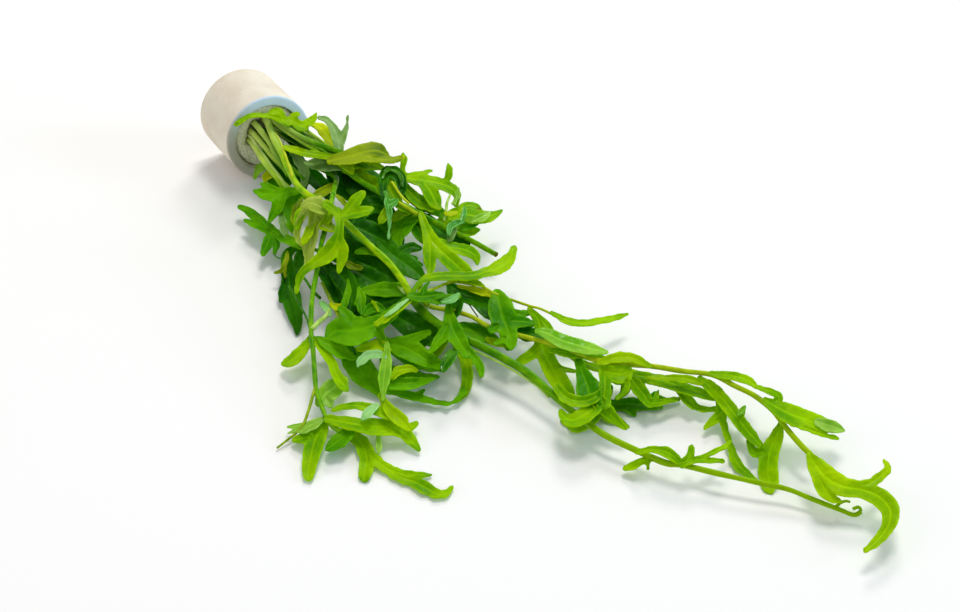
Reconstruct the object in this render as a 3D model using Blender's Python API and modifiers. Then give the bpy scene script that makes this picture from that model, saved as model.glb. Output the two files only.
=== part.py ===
"""A bunch of water sprite lying on a table, its stems held by a fibre plug in a ceramic ring.

The bunch is modelled in millimetres in the ring's own frame: the ring lies on its side with its
axis along X, its front face at x = 0, and the table at z = 0. Everything hangs under one empty,
which is moved at the end so that the origin is under the middle of the whole bunch.

Leaves and stems follow routes chosen by hand over a photograph of the bunch. A route point is a
pixel of that photograph and a height over the table, and photo_point turns the two into a place.
"""

import math

import bmesh
import bpy
import numpy as np
from mathutils import Vector
from mathutils.bvhtree import BVHTree
from mathutils.geometry import delaunay_2d_cdt

MM = 0.001

# The ring and its plug, in millimetres
RING_OUTER = 33.0
RING_BORE = 25.0
RING_LENGTH = 27.5
RING_SIDES = 48
RING_EDGE = 0.7
PLUG_DIAMETER = 24.2
PLUG_FACE = -1.2
PLUG_BACK = -24.5
PLUG_EDGE = 0.8
PLUG_SIDES = 36
STEM_IN_PLUG = 1.0
SOCKET_GAP = 0.4

# Leaf blades and the space kept between pieces, in millimetres
BLADE_THICKNESS = 0.6
GAP = 0.32
LOWEST_SHEET = BLADE_THICKNESS / 2 + 0.01

# How the photograph was taken, in the ring's frame
PHOTO_SIZE = (960, 612)
LENS_IN_PIXELS = 1500.0
VIEW_FROM = (466.7, -176.8, 274.1)
VIEW_DOWN = math.radians(33.99)
VIEW_TURN = math.radians(29.71)

# A stem's stub straight out of its socket, the space in front of a socket, and the way along a
# stem between its points, in millimetres
STEM_STUB = 1.6
SOCKET_FRONT = 2.0
STEM_STEP = 8.5

# Leaf outlines, in pixels of the photograph: the way between points along a finger, the least
# between outline points, the least from a vein point to another point, and the way from the
# leaf's base over which a lift of the base fades out
STATION = 10.5
MERGE = 1.6
VEIN_CLEAR = 1.8
LIFT_FADE = 22.0

GREEN = (0.20, 0.42, 0.03, 1.0)
PALE_GREEN = (0.36, 0.52, 0.12, 1.0)
CERAMIC = (0.78, 0.72, 0.62, 1.0)
FIBRE = (0.62, 0.60, 0.52, 1.0)

# Stems: (pixel x, pixel y, height) along each, with the diameter at its two ends.
# A rooted stem starts in the plug, at the pixel given as its root.
STEMS = {
    "stem_lower_left": dict(
        root=(251, 142), size=(2.2, 1.8),
        route=[(265, 163, 14.0), (277, 178, 12.6), (287, 187, 11.6), (296, 198, 10.0), (301, 210, 8.0)],
    ),
    "stem_inner": dict(
        root=(253, 133), size=(2.2, 1.8),
        route=[(265, 147, 16.6), (273, 157, 15.0), (281, 165, 13.6), (290, 176, 11.4), (304, 196, 9.0),
               (320, 212, 7.0)],
    ),
    "stem_short": dict(
        root=(256, 125), size=(2.3, 1.7),
        route=[(269, 142, 19.4), (277, 156, 18.6), (283, 165, 17.6), (288, 175, 16.4)],
    ),
    "stem_main": dict(
        root=(266, 121), size=(2.5, 2.2),
        route=[(273, 137, 21.8), (280, 150, 21.0), (286, 163, 20.4), (292, 176, 20.2), (298, 186, 20.4),
               (307, 194, 21.0), (330, 208, 21.6), (360, 236, 21.0), (375, 250, 20.0), (388, 262, 19.0),
               (400, 277, 17.0), (408, 290, 15.2), (411.5, 296.5, 14.3)],
    ),
    "stem_upper": dict(
        root=(275, 118), size=(2.2, 1.7),
        route=[(290, 130, 22.6), (305, 139, 22.8), (325, 147, 22.8), (345, 154, 22.4), (366, 166, 21.4)],
    ),
    "stem_upper_low": dict(
        root=(270, 126), size=(2.1, 1.6),
        route=[(283, 136, 18.0), (298, 145, 16.8), (312, 152, 15.8), (336, 165, 13.6), (358, 182, 11.5),
               (380, 196, 9.5)],
    ),
    "stem_upper_right": dict(
        root=(291, 126), size=(2.0, 1.6),
        route=[(305, 134, 17.8), (322, 145, 17.2), (338, 153, 16.8), (354, 161, 16.0)],
    ),
    "stem_right": dict(
        root=(280, 124), size=(2.3, 1.9),
        route=[(300, 138, 20.0), (320, 151, 19.6), (337, 162, 19.6), (356, 178, 19.8), (375, 190, 19.2),
               (392, 200, 18.4), (409, 208, 17.4), (429, 219, 15.8), (444, 227, 14.0), (470, 240, 10.6),
               (497, 255, 7.4)],
    ),
    "stem_front": dict(
        root=(262, 135), size=(2.2, 1.4),
        route=[(283, 150, 13.0), (306, 163, 11.8), (324, 170, 13.0), (336, 178, 15.4), (334, 190, 17.4),
               (331, 204, 18.4), (326, 225, 18.2), (320, 250, 17.0), (317, 270, 15.8), (312, 300, 13.0),
               (311, 330, 10.0), (313, 350, 8.6), (316, 389, 6.2), (320, 402, 5.4), (326, 418, 4.6)],
    ),
    "stem_long": dict(
        size=(2.9, 0.9),
        route=[(414.5, 301.5, 13.6), (430, 318, 12.0), (463, 338, 10.4), (481, 346, 9.8), (517, 366, 9.2),
               (543, 380, 8.6), (550, 392, 8.0), (575, 412, 7.0), (604, 433, 5.6), (640, 452, 5.0),
               (666, 463, 5.0), (682, 465, 5.2), (720, 474, 5.4), (755, 482, 5.0), (787, 489, 4.4),
               (812, 499, 3.6), (838, 509, 2.6), (854, 515, 1.8), (861, 512, 2.6)],
    ),
    "stem_middle": dict(
        size=(1.6, 0.9),
        route=[(419.5, 301.5, 12.6), (432, 307, 10.6), (448, 310, 9.6), (470, 316, 9.0),
               (490, 327, 8.6), (520, 336, 9.4),
               (545, 342, 10.2), (579, 355, 10.4), (610, 363, 10.0), (650, 366, 9.6), (682, 371, 9.4),
               (713, 375, 9.4), (735, 386, 9.4), (755, 396, 9.4), (773, 411, 9.2), (787, 429, 8.8),
               (800, 444, 8.2), (810, 454, 7.6)],
    ),
    "stem_thin": dict(
        size=(1.0, 0.8),
        route=[(417, 295, 15.8), (436, 288, 15.0), (452, 282, 14.2), (470, 284, 13.6), (481, 286, 13.2),
               (496, 294, 12.6), (512, 300, 12.0), (530, 306, 11.4), (541, 309, 11.0), (556, 316, 10.2)],
    ),
}

# Leaves: fingers of (pixel x, pixel y, height, width in pixels). The first finger is the blade's
# own vein and the others branch off it. lean lifts one side of the blade, in millimetres a pixel,
# and fold lifts both edges over the vein, in millimetres.
LEAVES = {
    "leaf_over_ring": dict(lean=0.0, fold=0.2, fingers=[
        [(288, 124, 24.0, 5), (280, 119, 25.6, 7), (270, 116.5, 27.2, 4.5), (260, 115, 28.6, 4.5),
         (250, 116, 29.2, 4.5), (243, 119, 28.4, 5), (236.5, 123.5, 27.3, 5)],
        [(284, 121, 24.8, 6), (281, 114, 27.6, 8), (276, 111.5, 28.8, 8), (271, 112, 29.2, 4)],
        [(287, 120, 24.4, 6), (294, 121, 24.2, 8), (300, 126, 23.4, 9), (306, 128, 23.0, 5)],
        [(301, 126, 23.4, 7), (308, 123, 23.6, 8), (313, 119, 24.0, 7), (316, 114, 24.6, 2)],
        [(292, 121, 24.2, 7), (293, 116, 25.4, 6), (298, 114, 26.4, 4)],
    ]),
    "leaf_two_arms": dict(lean=0.1, fold=0.5, fingers=[
        [(340, 153, 20.8, 6), (339, 146, 21.4, 10), (336.5, 135, 22.4, 11), (332, 126, 23.4, 8),
         (326, 120, 24.0, 6), (319.5, 117.5, 24.4, 4)],
        [(339, 145, 21.5, 8), (342.5, 137, 22.2, 8), (346.5, 127, 23.2, 4), (347.5, 117, 24.0, 2.5)],
    ]),
    "leaf_yellow": dict(lean=-0.05, fold=0.3, fingers=[
        [(338, 152, 18.0, 6), (332, 143, 18.2, 11), (326, 133, 18.6, 12), (319, 127, 19.0, 8),
         (311, 124, 19.4, 3)],
    ]),
    "leaf_top": dict(lean=-0.12, fold=0.5, fingers=[
        [(330, 161, 21.4, 7), (340, 159, 22.4, 12), (352, 156, 23.6, 16), (364, 152.5, 24.2, 18),
         (376, 151, 23.8, 17), (386, 154, 23.0, 6)],
        [(366, 156, 23.2, 11), (380, 159, 22.6, 8), (391, 160, 22.2, 7), (400, 158, 21.8, 5)],
    ]),
    "leaf_top_low": dict(lean=-0.1, fold=0.4, fingers=[
        [(334, 168, 14.8, 8), (348, 166, 15.6, 16), (362, 172, 15.6, 17), (374, 179, 15.2, 13),
         (384, 186, 14.8, 5)],
    ]),
    "leaf_dark_gloss": dict(lean=0.1, fold=0.6, fingers=[
        [(384, 198, 20.4, 6), (383, 184, 21.2, 9), (385, 174, 21.6, 11), (393, 172, 21.6, 13),
         (400, 179, 21.0, 13), (402, 189, 20.2, 9), (400, 195, 19.6, 4)],
    ]),
    "leaf_far": dict(lean=-0.1, fold=0.5, fingers=[
        [(387, 194, 20.6, 4), (392, 183, 19.6, 5), (400, 177, 18.8, 6), (412, 179, 18.4, 9),
         (426, 181, 18.2, 12), (441, 184, 17.6, 12),
         (452, 189, 16.8, 11), (457, 195, 15.8, 8), (456, 203, 14.4, 6)],
        [(424, 183, 18.2, 12), (430, 191, 17.2, 15), (434, 199, 16.0, 15), (438, 207, 14.8, 7)],
        [(403, 177, 18.4, 6), (402.5, 168, 20.0, 5), (403.5, 160, 21.4, 7), (403, 154, 22.4, 4)],
        [(404, 176, 18.4, 5), (418, 174, 19.0, 5), (434, 170, 19.4, 2)],
        [(440, 183, 17.8, 5), (447, 179, 18.6, 6), (449, 172, 20.2, 8), (448, 165, 21.8, 3)],
    ]),
    "leaf_far_low": dict(lean=0.1, fold=0.4, fingers=[
        [(391, 195, 17.2, 4), (396, 188, 16.8, 6), (404, 190, 16.2, 11), (414, 198, 15.4, 13),
         (426, 205, 14.4, 14),
         (438, 211, 13.2, 11), (446, 217, 12.2, 5)],
    ]),
    "leaf_end": dict(lean=-0.1, fold=0.5, fingers=[
        [(440, 221, 12.6, 6), (450, 216, 13.0, 10), (462, 214, 13.0, 15), (474, 216, 12.6, 15),
         (486, 217, 12.0, 12), (494, 215, 11.6, 8), (501, 211, 11.4, 3)],
        [(458, 212, 13.2, 10), (467, 206, 13.6, 8), (476, 207, 13.4, 7), (481, 210, 13.0, 4)],
        [(441, 222, 12.4, 7), (449, 228, 11.4, 9), (462, 231, 10.6, 9), (471, 231, 9.8, 9),
         (478, 230, 9.4, 4)],
    ]),
    "leaf_deep_fan": dict(lean=0.06, fold=0.6, fingers=[
        [(344, 224, 15.6, 8), (357, 228, 15.0, 20), (370, 234, 14.2, 25), (383, 241, 13.2, 17),
         (396, 248, 12.0, 5)],
        [(352, 224, 15.2, 12), (360, 212, 15.4, 17), (371, 205, 15.2, 18), (383, 207, 14.6, 15),
         (394, 214, 13.8, 6)],
    ]),
    "leaf_deep_back": dict(lean=-0.05, fold=0.5, fingers=[
        [(345, 176, 12.6, 7), (352, 185, 12.2, 16), (364, 193, 11.6, 20), (378, 202, 10.8, 16),
         (390, 212, 10.0, 6)],
    ]),
    "leaf_deep_ring": dict(lean=0.06, fold=0.5, fingers=[
        [(292, 144, 14.6, 4), (293, 152, 12.4, 6), (298, 162, 10.4, 15), (303, 174, 9.0, 17),
         (303, 187, 7.6, 8)],
        [(301, 170, 9.4, 12), (312, 176, 9.0, 16), (322, 186, 8.4, 14), (328, 197, 7.6, 6)],
    ]),
    "leaf_deep_low": dict(lean=0.06, fold=0.5, fingers=[
        [(321, 256, 15.0, 4), (332, 258, 12.2, 5), (343, 262, 10.2, 9), (355, 270, 9.8, 18),
         (369, 279, 9.6, 24), (384, 286, 9.4, 22),
         (396, 290, 9.2, 14), (404, 292, 9.0, 6)],
        [(356, 272, 9.6, 12), (352, 286, 8.6, 12), (347, 300, 7.6, 10), (341, 311, 6.8, 4)],
    ]),
    "leaf_right_drop": dict(lean=-0.1, fold=0.5, fingers=[
        [(425, 236, 13.6, 6), (436, 243, 13.6, 11), (448, 247, 13.2, 12), (460, 249, 12.4, 11),
         (470, 252, 11.0, 12), (476, 257, 9.2, 9), (477, 262, 7.8, 5)],
    ]),
    "leaf_right_big": dict(lean=0.08, fold=0.6, fingers=[
        [(421, 214, 16.2, 6), (425, 226, 16.0, 9), (431, 239, 15.4, 13), (441, 251, 14.4, 15),
         (453, 262, 13.0, 17), (464, 272, 11.4, 16), (474, 281, 10.0, 8)],
        [(429, 236, 15.6, 12), (430, 248, 14.8, 14), (430, 260, 13.6, 13), (430, 272, 12.4, 6)],
    ]),
    "leaf_by_main": dict(lean=0.1, fold=0.4, fingers=[
        [(380, 243, 14.2, 8), (391, 253, 14.0, 16), (403, 262, 13.6, 21), (415, 271, 12.8, 16),
         (424, 279, 12.2, 6)],
        [(396, 257, 13.8, 12), (404, 250, 14.0, 11), (412, 247, 13.8, 9), (419, 248, 13.4, 5)],
    ]),
    "leaf_fork": dict(lean=-0.1, fold=0.5, fingers=[
        [(412, 293, 16.8, 4), (420, 282, 17.2, 5), (432, 277, 17.2, 8), (452, 276, 16.6, 9),
         (472, 276, 15.6, 9),
         (486, 272, 14.8, 9), (498, 269, 14.2, 11), (508, 262, 13.8, 11), (514, 249, 14.2, 7)],
        [(485, 273, 14.9, 7), (495, 265, 14.8, 6), (505, 256, 15.0, 3)],
    ]),
    "leaf_node_right": dict(lean=-0.08, fold=0.5, fingers=[
        [(410, 296, 16.6, 7), (422, 297, 16.4, 10), (436, 298, 15.8, 11), (448, 299, 14.8, 10),
         (459, 296, 13.8, 5)],
    ]),
    "leaf_node_left": dict(lean=0.1, fold=0.6, fingers=[
        [(409, 299, 16.0, 7), (400, 306, 15.4, 9), (388, 317, 14.2, 12), (376, 324, 13.2, 17),
         (363, 329, 12.2, 25), (350, 331, 11.0, 30), (337, 331, 9.8, 22), (327, 338, 8.6, 5)],
        [(374, 326, 12.6, 10), (381, 336, 11.0, 9), (384, 347, 9.4, 4)],
        [(352, 325, 11.8, 14), (346, 315, 12.4, 12), (340, 309, 12.6, 5)],
    ]),
    "leaf_thin_end": dict(lean=-0.05, fold=0.3, fingers=[
        [(552, 313, 11.8, 4), (568, 321, 10.6, 7), (585, 323, 9.8, 7), (600, 320.5, 9.0, 6.5),
         (615, 318, 8.0, 6), (627, 314, 7.0, 3)],
    ]),
    "leaf_thin_down": dict(lean=0.1, fold=0.5, fingers=[
        [(530, 309, 9.6, 5), (538, 320, 9.2, 11), (541, 333, 8.6, 14), (543, 348, 7.8, 16),
         (549, 363, 6.8, 18), (558, 379, 5.4, 19), (567, 392, 4.2, 15), (572, 400, 3.4, 5)],
        [(542, 344, 7.8, 11), (532, 354, 6.8, 11), (522, 360, 5.8, 9), (516, 364, 5.0, 4)],
        [(549, 360, 6.8, 8), (558, 367, 6.0, 7), (567, 370, 5.6, 5), (575, 371, 5.4, 3)],
        [(536, 317, 9.3, 6), (545, 324, 9.2, 9), (554, 336, 8.6, 6)],
    ]),
    "leaf_centre_fan": dict(lean=0.08, fold=0.5, fingers=[
        [(500, 297, 9.6, 6), (504, 308, 9.2, 12), (506, 321, 8.4, 16), (507, 335, 7.2, 15),
         (508, 347, 6.0, 7)],
        [(505, 311, 9.0, 10), (518, 314, 9.0, 9), (531, 313, 8.8, 4)],
        [(506, 322, 8.4, 9), (520, 325, 8.2, 8), (532, 325, 7.8, 4)],
        [(503, 305, 9.2, 10), (490, 303, 8.6, 11), (477, 299, 8.0, 10), (467, 295, 7.6, 4)],
    ]),
    "leaf_centre_strap": dict(lean=-0.1, fold=0.4, fingers=[
        [(453, 326, 7.4, 6), (464, 329, 7.2, 14), (476, 332, 6.8, 17), (488, 337, 6.2, 13),
         (499, 342, 5.6, 8), (509, 346, 5.0, 3)],
    ]),
    "leaf_centre_long": dict(lean=0.06, fold=0.5, fingers=[
        [(447, 311, 8.0, 6), (452, 324, 7.4, 13), (457, 337, 6.6, 14), (463, 352, 5.6, 13),
         (467, 367, 4.6, 12), (467, 382, 3.4, 11), (464, 392, 2.6, 9), (458, 400, 2.0, 4)],
        [(449, 320, 7.6, 10), (444, 333, 6.8, 14), (438, 346, 5.8, 14), (431, 360, 4.6, 6)],
        [(464, 355, 5.4, 10), (474, 360, 5.0, 8), (480, 368, 4.4, 7), (481, 376, 4.0, 3)],
    ]),
    "leaf_long_strap": dict(lean=-0.08, fold=0.3, fingers=[
        [(382, 390, 2.8, 5), (395, 393, 2.6, 8), (410, 397, 2.2, 10), (427, 402, 1.6, 11),
         (443, 404, 1.2, 11), (456, 401, 1.0, 8), (461, 394, 1.4, 3)],
    ]),
    "leaf_shade_wide": dict(lean=0.08, fold=0.5, fingers=[
        [(384, 341, 6.0, 8), (396, 347, 5.8, 17), (411, 354, 5.4, 23), (427, 361, 4.8, 20),
         (443, 368, 3.8, 7)],
        [(416, 350, 5.6, 12), (424, 341, 6.0, 9), (430, 331, 6.4, 3)],
        [(388, 345, 5.8, 8), (384, 358, 4.8, 8), (389, 371, 3.8, 12), (404, 375, 3.2, 15),
         (420, 378, 2.6, 12), (437, 377, 2.0, 4)],
    ]),
    "leaf_strip": dict(lean=-0.06, fold=0.4, fingers=[
        [(569, 355, 9.0, 4), (580, 362, 7.8, 6), (594, 367, 7.2, 8), (612, 371, 7.0, 9),
         (630, 374, 6.8, 10), (648, 378, 6.6, 11),
         (666, 382, 6.4, 12), (683, 388, 6.0, 11), (700, 393, 5.6, 10), (714, 398, 5.2, 6)],
        [(632, 376, 6.8, 8), (641, 387, 5.6, 9), (649, 401, 4.0, 4)],
    ]),
    "leaf_wet_tip": dict(lean=-0.1, fold=0.4, fingers=[
        [(537, 331, 11.8, 5), (548, 334, 12.4, 11), (562, 341, 12.4, 14), (579, 346, 12.0, 14),
         (595, 350, 11.6, 10), (606, 352, 11.2, 4)],
    ]),
    "leaf_drop_fork": dict(lean=0.08, fold=0.5, fingers=[
        [(605, 368, 6.6, 6), (604, 382, 5.4, 9), (601, 397, 4.0, 12), (597, 410, 2.8, 14),
         (589, 421, 1.8, 13), (576, 427, 1.2, 11), (563, 420, 1.2, 6)],
        [(599, 405, 3.2, 14), (608, 415, 2.2, 13), (617, 420, 1.4, 9), (627, 426, 1.0, 4)],
        [(605, 372, 6.4, 9), (615, 376, 6.2, 15), (626, 380, 5.6, 13), (624, 392, 4.4, 8),
         (616, 398, 3.6, 3)],
    ]),
    "leaf_tip_down": dict(lean=0.06, fold=0.5, fingers=[
        [(700, 379, 7.6, 6), (712, 388, 7.2, 12), (725, 402, 6.4, 13), (738, 419, 5.4, 13),
         (750, 434, 4.4, 12), (760, 445, 3.8, 6)],
        [(735, 415, 5.8, 8), (741, 413, 6.0, 7), (744, 408, 6.2, 4)],
    ]),
    "leaf_tip_pale": dict(lean=-0.06, fold=0.4, fingers=[
        [(717, 393, 5.0, 5), (721, 408, 4.4, 9), (724, 425, 3.2, 7), (730, 445, 2.0, 7),
         (738, 465, 1.0, 10), (756, 481, 0.6, 4)],
        [(722, 412, 4.0, 9), (714, 420, 3.2, 9), (705, 428, 2.6, 4)],
    ]),
    "leaf_tip_hook": dict(lean=0.08, fold=0.5, fingers=[
        [(781, 424, 7.4, 6), (776, 438, 6.2, 14), (770, 452, 4.8, 19), (768, 467, 3.2, 20),
         (769, 479, 1.8, 20), (769, 488, 0.9, 12)],
        [(771, 452, 4.8, 11), (761, 453, 4.4, 10), (753, 451, 4.0, 9), (748, 441, 4.2, 4)],
    ]),
    "leaf_tip_side": dict(lean=-0.06, fold=0.5, fingers=[
        [(765, 400, 10.6, 6), (776, 407, 10.6, 14), (790, 414, 10.4, 20), (806, 420, 9.8, 20),
         (821, 424.5, 8.8, 16), (834, 427, 7.8, 11), (843, 430, 7.0, 4)],
        [(772, 404, 10.8, 7), (779, 399, 11.4, 8), (776, 394, 12.0, 7), (767, 390, 12.4, 6),
         (757, 387, 12.4, 4)],
        [(802, 425, 9.8, 8), (816, 432, 8.6, 5), (832, 437, 7.2, 4), (848, 441, 6.2, 2)],
    ]),
    "leaf_tip_end": dict(lean=0.04, fold=0.6, fingers=[
        [(810, 456, 9.4, 8), (817, 467, 8.8, 18), (828, 479, 8.0, 24), (845, 487, 7.4, 19),
         (862, 490, 7.0, 17), (879, 497, 6.6, 19), (890, 510, 6.2, 19), (888, 526, 5.8, 14),
         (877, 541, 5.4, 10), (866, 550, 5.0, 5)],
        [(858, 488, 7.0, 12), (871, 483, 7.2, 10), (882, 475, 7.8, 9), (888, 468, 8.2, 7),
         (884, 461, 8.6, 4)],
        [(820, 477, 8.0, 16), (824, 489, 7.0, 15), (832, 498, 6.2, 9), (840, 501, 5.6, 4)],
    ]),
    "leaf_front_left": dict(lean=-0.1, fold=0.6, fingers=[
        [(300, 190, 14.4, 6), (290, 192, 14.2, 9), (278, 194, 13.6, 13), (266, 194, 12.8, 12),
         (255, 191, 12.2, 4)],
        [(281, 196, 13.6, 12), (277, 208, 11.6, 11), (270, 220, 9.4, 5)],
        [(276, 191, 13.8, 8), (268, 187, 13.8, 7), (262, 184, 13.6, 3)],
    ]),
    "leaf_left_fan": dict(lean=0.08, fold=0.5, fingers=[
        [(317, 250, 14.0, 3.5), (304, 246, 9.6, 4.5), (294, 241, 8.4, 6), (282, 236, 7.6, 7),
         (270, 229, 7.0, 10),
         (258, 219, 6.0, 10), (248, 211, 5.0, 8), (240, 207, 4.4, 4)],
        [(270, 230, 7.0, 9), (257, 225, 5.8, 8), (246, 221, 4.8, 4)],
        [(272, 232, 7.0, 10), (268, 243, 5.6, 11), (263, 253, 4.2, 6)],
        [(273, 233, 7.0, 8), (276, 243, 5.8, 8), (275, 252, 4.4, 4)],
    ]),
    "leaf_left_dark": dict(lean=0.05, fold=0.5, fingers=[
        [(316, 262, 13.0, 3.5), (306, 252, 9.0, 4), (297, 248, 6.6, 5), (288, 254, 5.6, 10),
         (287, 266, 4.8, 13), (289, 280, 3.8, 15),
         (291, 296, 2.6, 19), (295, 313, 1.4, 16), (297, 326, 0.8, 9), (297, 334, 0.6, 3)],
        [(288, 280, 3.8, 10), (283, 291, 2.8, 9), (281, 300, 2.0, 4)],
    ]),
    "leaf_flap": dict(lean=0.06, fold=0.5, fingers=[
        [(319, 199, 24.8, 7), (317, 206, 24.0, 15), (315, 218, 22.0, 13), (312, 234, 18.8, 12),
         (309, 250, 15.6, 11), (308, 266, 12.6, 6)],
        [(313, 204, 24.2, 10), (305, 211, 22.6, 8), (299, 223, 20.0, 7), (297, 236, 17.2, 6),
         (304, 248, 14.4, 3)],
        [(317, 214, 22.6, 10), (325, 222, 21.4, 11), (335, 229, 20.0, 5)],
    ]),
    "leaf_main_node": dict(lean=0.06, fold=0.5, fingers=[
        [(339, 210, 24.8, 5), (339.5, 216, 24.2, 9), (339.5, 226, 22.6, 8), (338, 236, 20.8, 11),
         (334, 247, 18.6, 17), (325, 256, 16.2, 15), (313, 264, 13.8, 10), (302, 273, 11.4, 8),
         (298, 283, 9.6, 6), (296, 293, 8.2, 3)],
        [(338, 240, 20.0, 12), (342, 251, 17.8, 13), (341, 262, 15.6, 9), (339, 271, 14.0, 4)],
        [(337, 214, 24.2, 6), (330, 207, 24.0, 9), (324, 204, 23.6, 5)],
        [(340, 218, 24.2, 6), (348, 210, 25.0, 10), (355, 201, 25.6, 12), (362, 194, 26.0, 7)],
        [(342, 217, 24.4, 7), (355, 213, 24.2, 10), (364, 211, 23.8, 10), (371, 209, 23.4, 5)],
    ]),
    "leaf_front_small": dict(lean=0.1, fold=0.5, fingers=[
        [(311, 337, 8.4, 5), (304, 348, 6.8, 10), (296, 357, 5.0, 13), (289, 362, 3.6, 10),
         (283, 364, 2.8, 5)],
    ]),
    "leaf_front_shade": dict(lean=0.06, fold=0.5, fingers=[
        [(314, 338, 9.8, 4), (332, 342, 8.0, 7), (346, 352, 6.8, 16), (355, 362, 5.8, 25),
         (363, 372, 4.8, 26), (373, 382, 3.6, 20), (382, 394, 2.4, 7)],
    ]),
    "leaf_front_end": dict(lean=0.06, fold=0.5, fingers=[
        [(326, 419, 3.8, 7), (319, 431, 3.2, 18), (314, 444, 2.4, 19), (311, 457, 1.6, 17),
         (309, 468, 0.9, 14), (308.5, 476, 0.6, 10)],
        [(315, 437, 2.8, 12), (304, 438, 2.2, 11), (295, 440, 1.6, 6)],
    ]),
    "leaf_front_right": dict(lean=-0.05, fold=0.5, fingers=[
        [(328, 419, 4.6, 8), (343, 422, 5.0, 12), (359, 425, 4.8, 14), (376, 427, 4.2, 17),
         (392, 428, 3.4, 15), (403, 432, 2.6, 13), (411, 440, 1.6, 11), (419, 450, 0.8, 4)],
        [(403, 430, 2.6, 10), (411, 427, 2.6, 8), (417, 423, 2.6, 4)],
    ]),
    "leaf_front_fork": dict(lean=0.04, fold=0.4, fingers=[
        [(328, 422, 4.2, 4), (338, 430, 2.4, 6), (351, 434, 1.6, 11), (362, 444, 1.2, 15),
         (367, 457, 0.8, 16),
         (366, 468, 0.6, 14), (364.5, 476, 0.5, 12)],
        [(366, 451, 1.0, 12), (378, 462, 0.8, 11), (390, 470, 0.7, 10), (403, 474, 0.6, 9),
         (417, 475, 0.6, 7), (430, 475, 0.6, 3)],
        [(392, 473, 0.7, 10), (402, 478, 0.6, 10), (414, 482, 0.6, 11), (426, 488, 0.6, 13),
         (438, 494, 0.6, 9), (446, 493, 0.6, 7), (451, 488, 0.8, 4)],
    ]),
    "leaf_front_arc": dict(lean=0.08, fold=0.4, fingers=[
        [(333, 410, 6.4, 4), (342, 407, 6.6, 6), (354, 405.5, 6.8, 7), (366, 407, 6.4, 9),
         (378, 411, 5.8, 10), (389, 416, 5.2, 8), (399, 423, 4.4, 4)],
        [(386, 411, 5.4, 9), (383, 402, 5.8, 6), (380, 394, 6.0, 4)],
    ]),
}


def empty_scene():
    for old in list(bpy.data.objects):
        bpy.data.objects.remove(old, do_unlink=True)


def sight_axes():
    """The photograph's right, up and forward directions, in the ring's frame."""
    ahead = np.array([-math.cos(VIEW_TURN), math.sin(VIEW_TURN), 0.0])
    right = np.array([math.sin(VIEW_TURN), math.cos(VIEW_TURN), 0.0])
    high = np.array([0.0, 0.0, 1.0])
    forward = ahead * math.cos(VIEW_DOWN) - high * math.sin(VIEW_DOWN)
    up = ahead * math.sin(VIEW_DOWN) + high * math.cos(VIEW_DOWN)
    return right, up, forward


RIGHT, UP, FORWARD = sight_axes()


def sight_lines(pixels):
    """Directions from the viewpoint through these pixels, one row each."""
    pixels = np.asarray(pixels, dtype=float)
    across = (pixels[..., 0] - PHOTO_SIZE[0] / 2) / LENS_IN_PIXELS
    down = (pixels[..., 1] - PHOTO_SIZE[1] / 2) / LENS_IN_PIXELS
    return FORWARD + across[..., None] * RIGHT - down[..., None] * UP


def photo_points(pixels, heights):
    """The places at these heights over the table that the photograph shows at these pixels."""
    lines = sight_lines(pixels)
    reach = (np.asarray(heights, dtype=float) - VIEW_FROM[2]) / lines[..., 2]
    return np.array(VIEW_FROM) + reach[..., None] * lines


def photo_point_at_x(pixel, x):
    """The place that the photograph shows at this pixel, in the plane at this x."""
    line = sight_lines([pixel])[0]
    return np.array(VIEW_FROM) + (x - VIEW_FROM[0]) / line[0] * line


def smooth_route(points, step, measured=2):
    """A Catmull-Rom curve through the points, sampled about every step of its first columns."""
    points = np.asarray(points, dtype=float)
    ends = np.vstack([2 * points[0] - points[1], points, 2 * points[-1] - points[-2]])
    samples = []
    for a, b, c, d in zip(ends, ends[1:], ends[2:], ends[3:]):
        length = np.linalg.norm((c - b)[:measured])
        count = max(1, round(length / step))
        for i in range(count):
            t = i / count
            samples.append(0.5 * (2 * b + (c - a) * t + (2 * a - 5 * b + 4 * c - d) * t**2
                                  + (3 * b - a - 3 * c + d) * t**3))
    samples.append(points[-1])
    return np.array(samples)


def stem_path(stem):
    """Points along a stem's middle, in millimetres, and how many of them are in the plug."""
    route = np.array(stem["route"], dtype=float)
    places = photo_points(route[:, :2], route[:, 2])
    if "root" not in stem:
        return smooth_route(places, STEM_STEP, measured=3)
    mouth = photo_point_at_x(stem["root"], PLUG_FACE)
    inside = mouth - np.array([STEM_IN_PLUG, 0.0, 0.0])
    outside = mouth + np.array([STEM_STUB, 0.0, 0.0])
    curve = smooth_route(np.vstack([mouth, outside, places]), STEM_STEP, measured=3)
    return np.vstack([inside, curve])


def finger_outline(samples):
    """A finger's outline and middle, in pixels, from samples of its route and width."""
    middle = samples[:, :2]
    along = np.gradient(middle, axis=0)
    along /= np.linalg.norm(along, axis=1)[:, None]
    side = np.stack([along[:, 1], -along[:, 0]], axis=1) * samples[:, 3:4] / 2
    tip = middle[-1] + along[-1] * samples[-1, 3] * 0.45
    outline = list(middle + side) + [tip] + list((middle - side)[::-1])
    return outline, middle


def inner_triangles(points, faces, nearness):
    """Points and triangles of what these outlines cover together."""
    flat = [Vector((float(x), float(y))) for x, y in points]
    found, _, triangles, _, _, owners = delaunay_2d_cdt(flat, [], faces, 1, nearness)
    covered = [tuple(t) for t, owner in zip(triangles, owners) if owner]
    return np.array([tuple(v) for v in found]), covered


def border_edges(triangles):
    """Edges that only one triangle has, in that triangle's direction."""
    directed = {(t[i], t[(i + 1) % 3]): None for t in triangles for i in range(3)}
    return [edge for edge in directed if (edge[1], edge[0]) not in directed]


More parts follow.
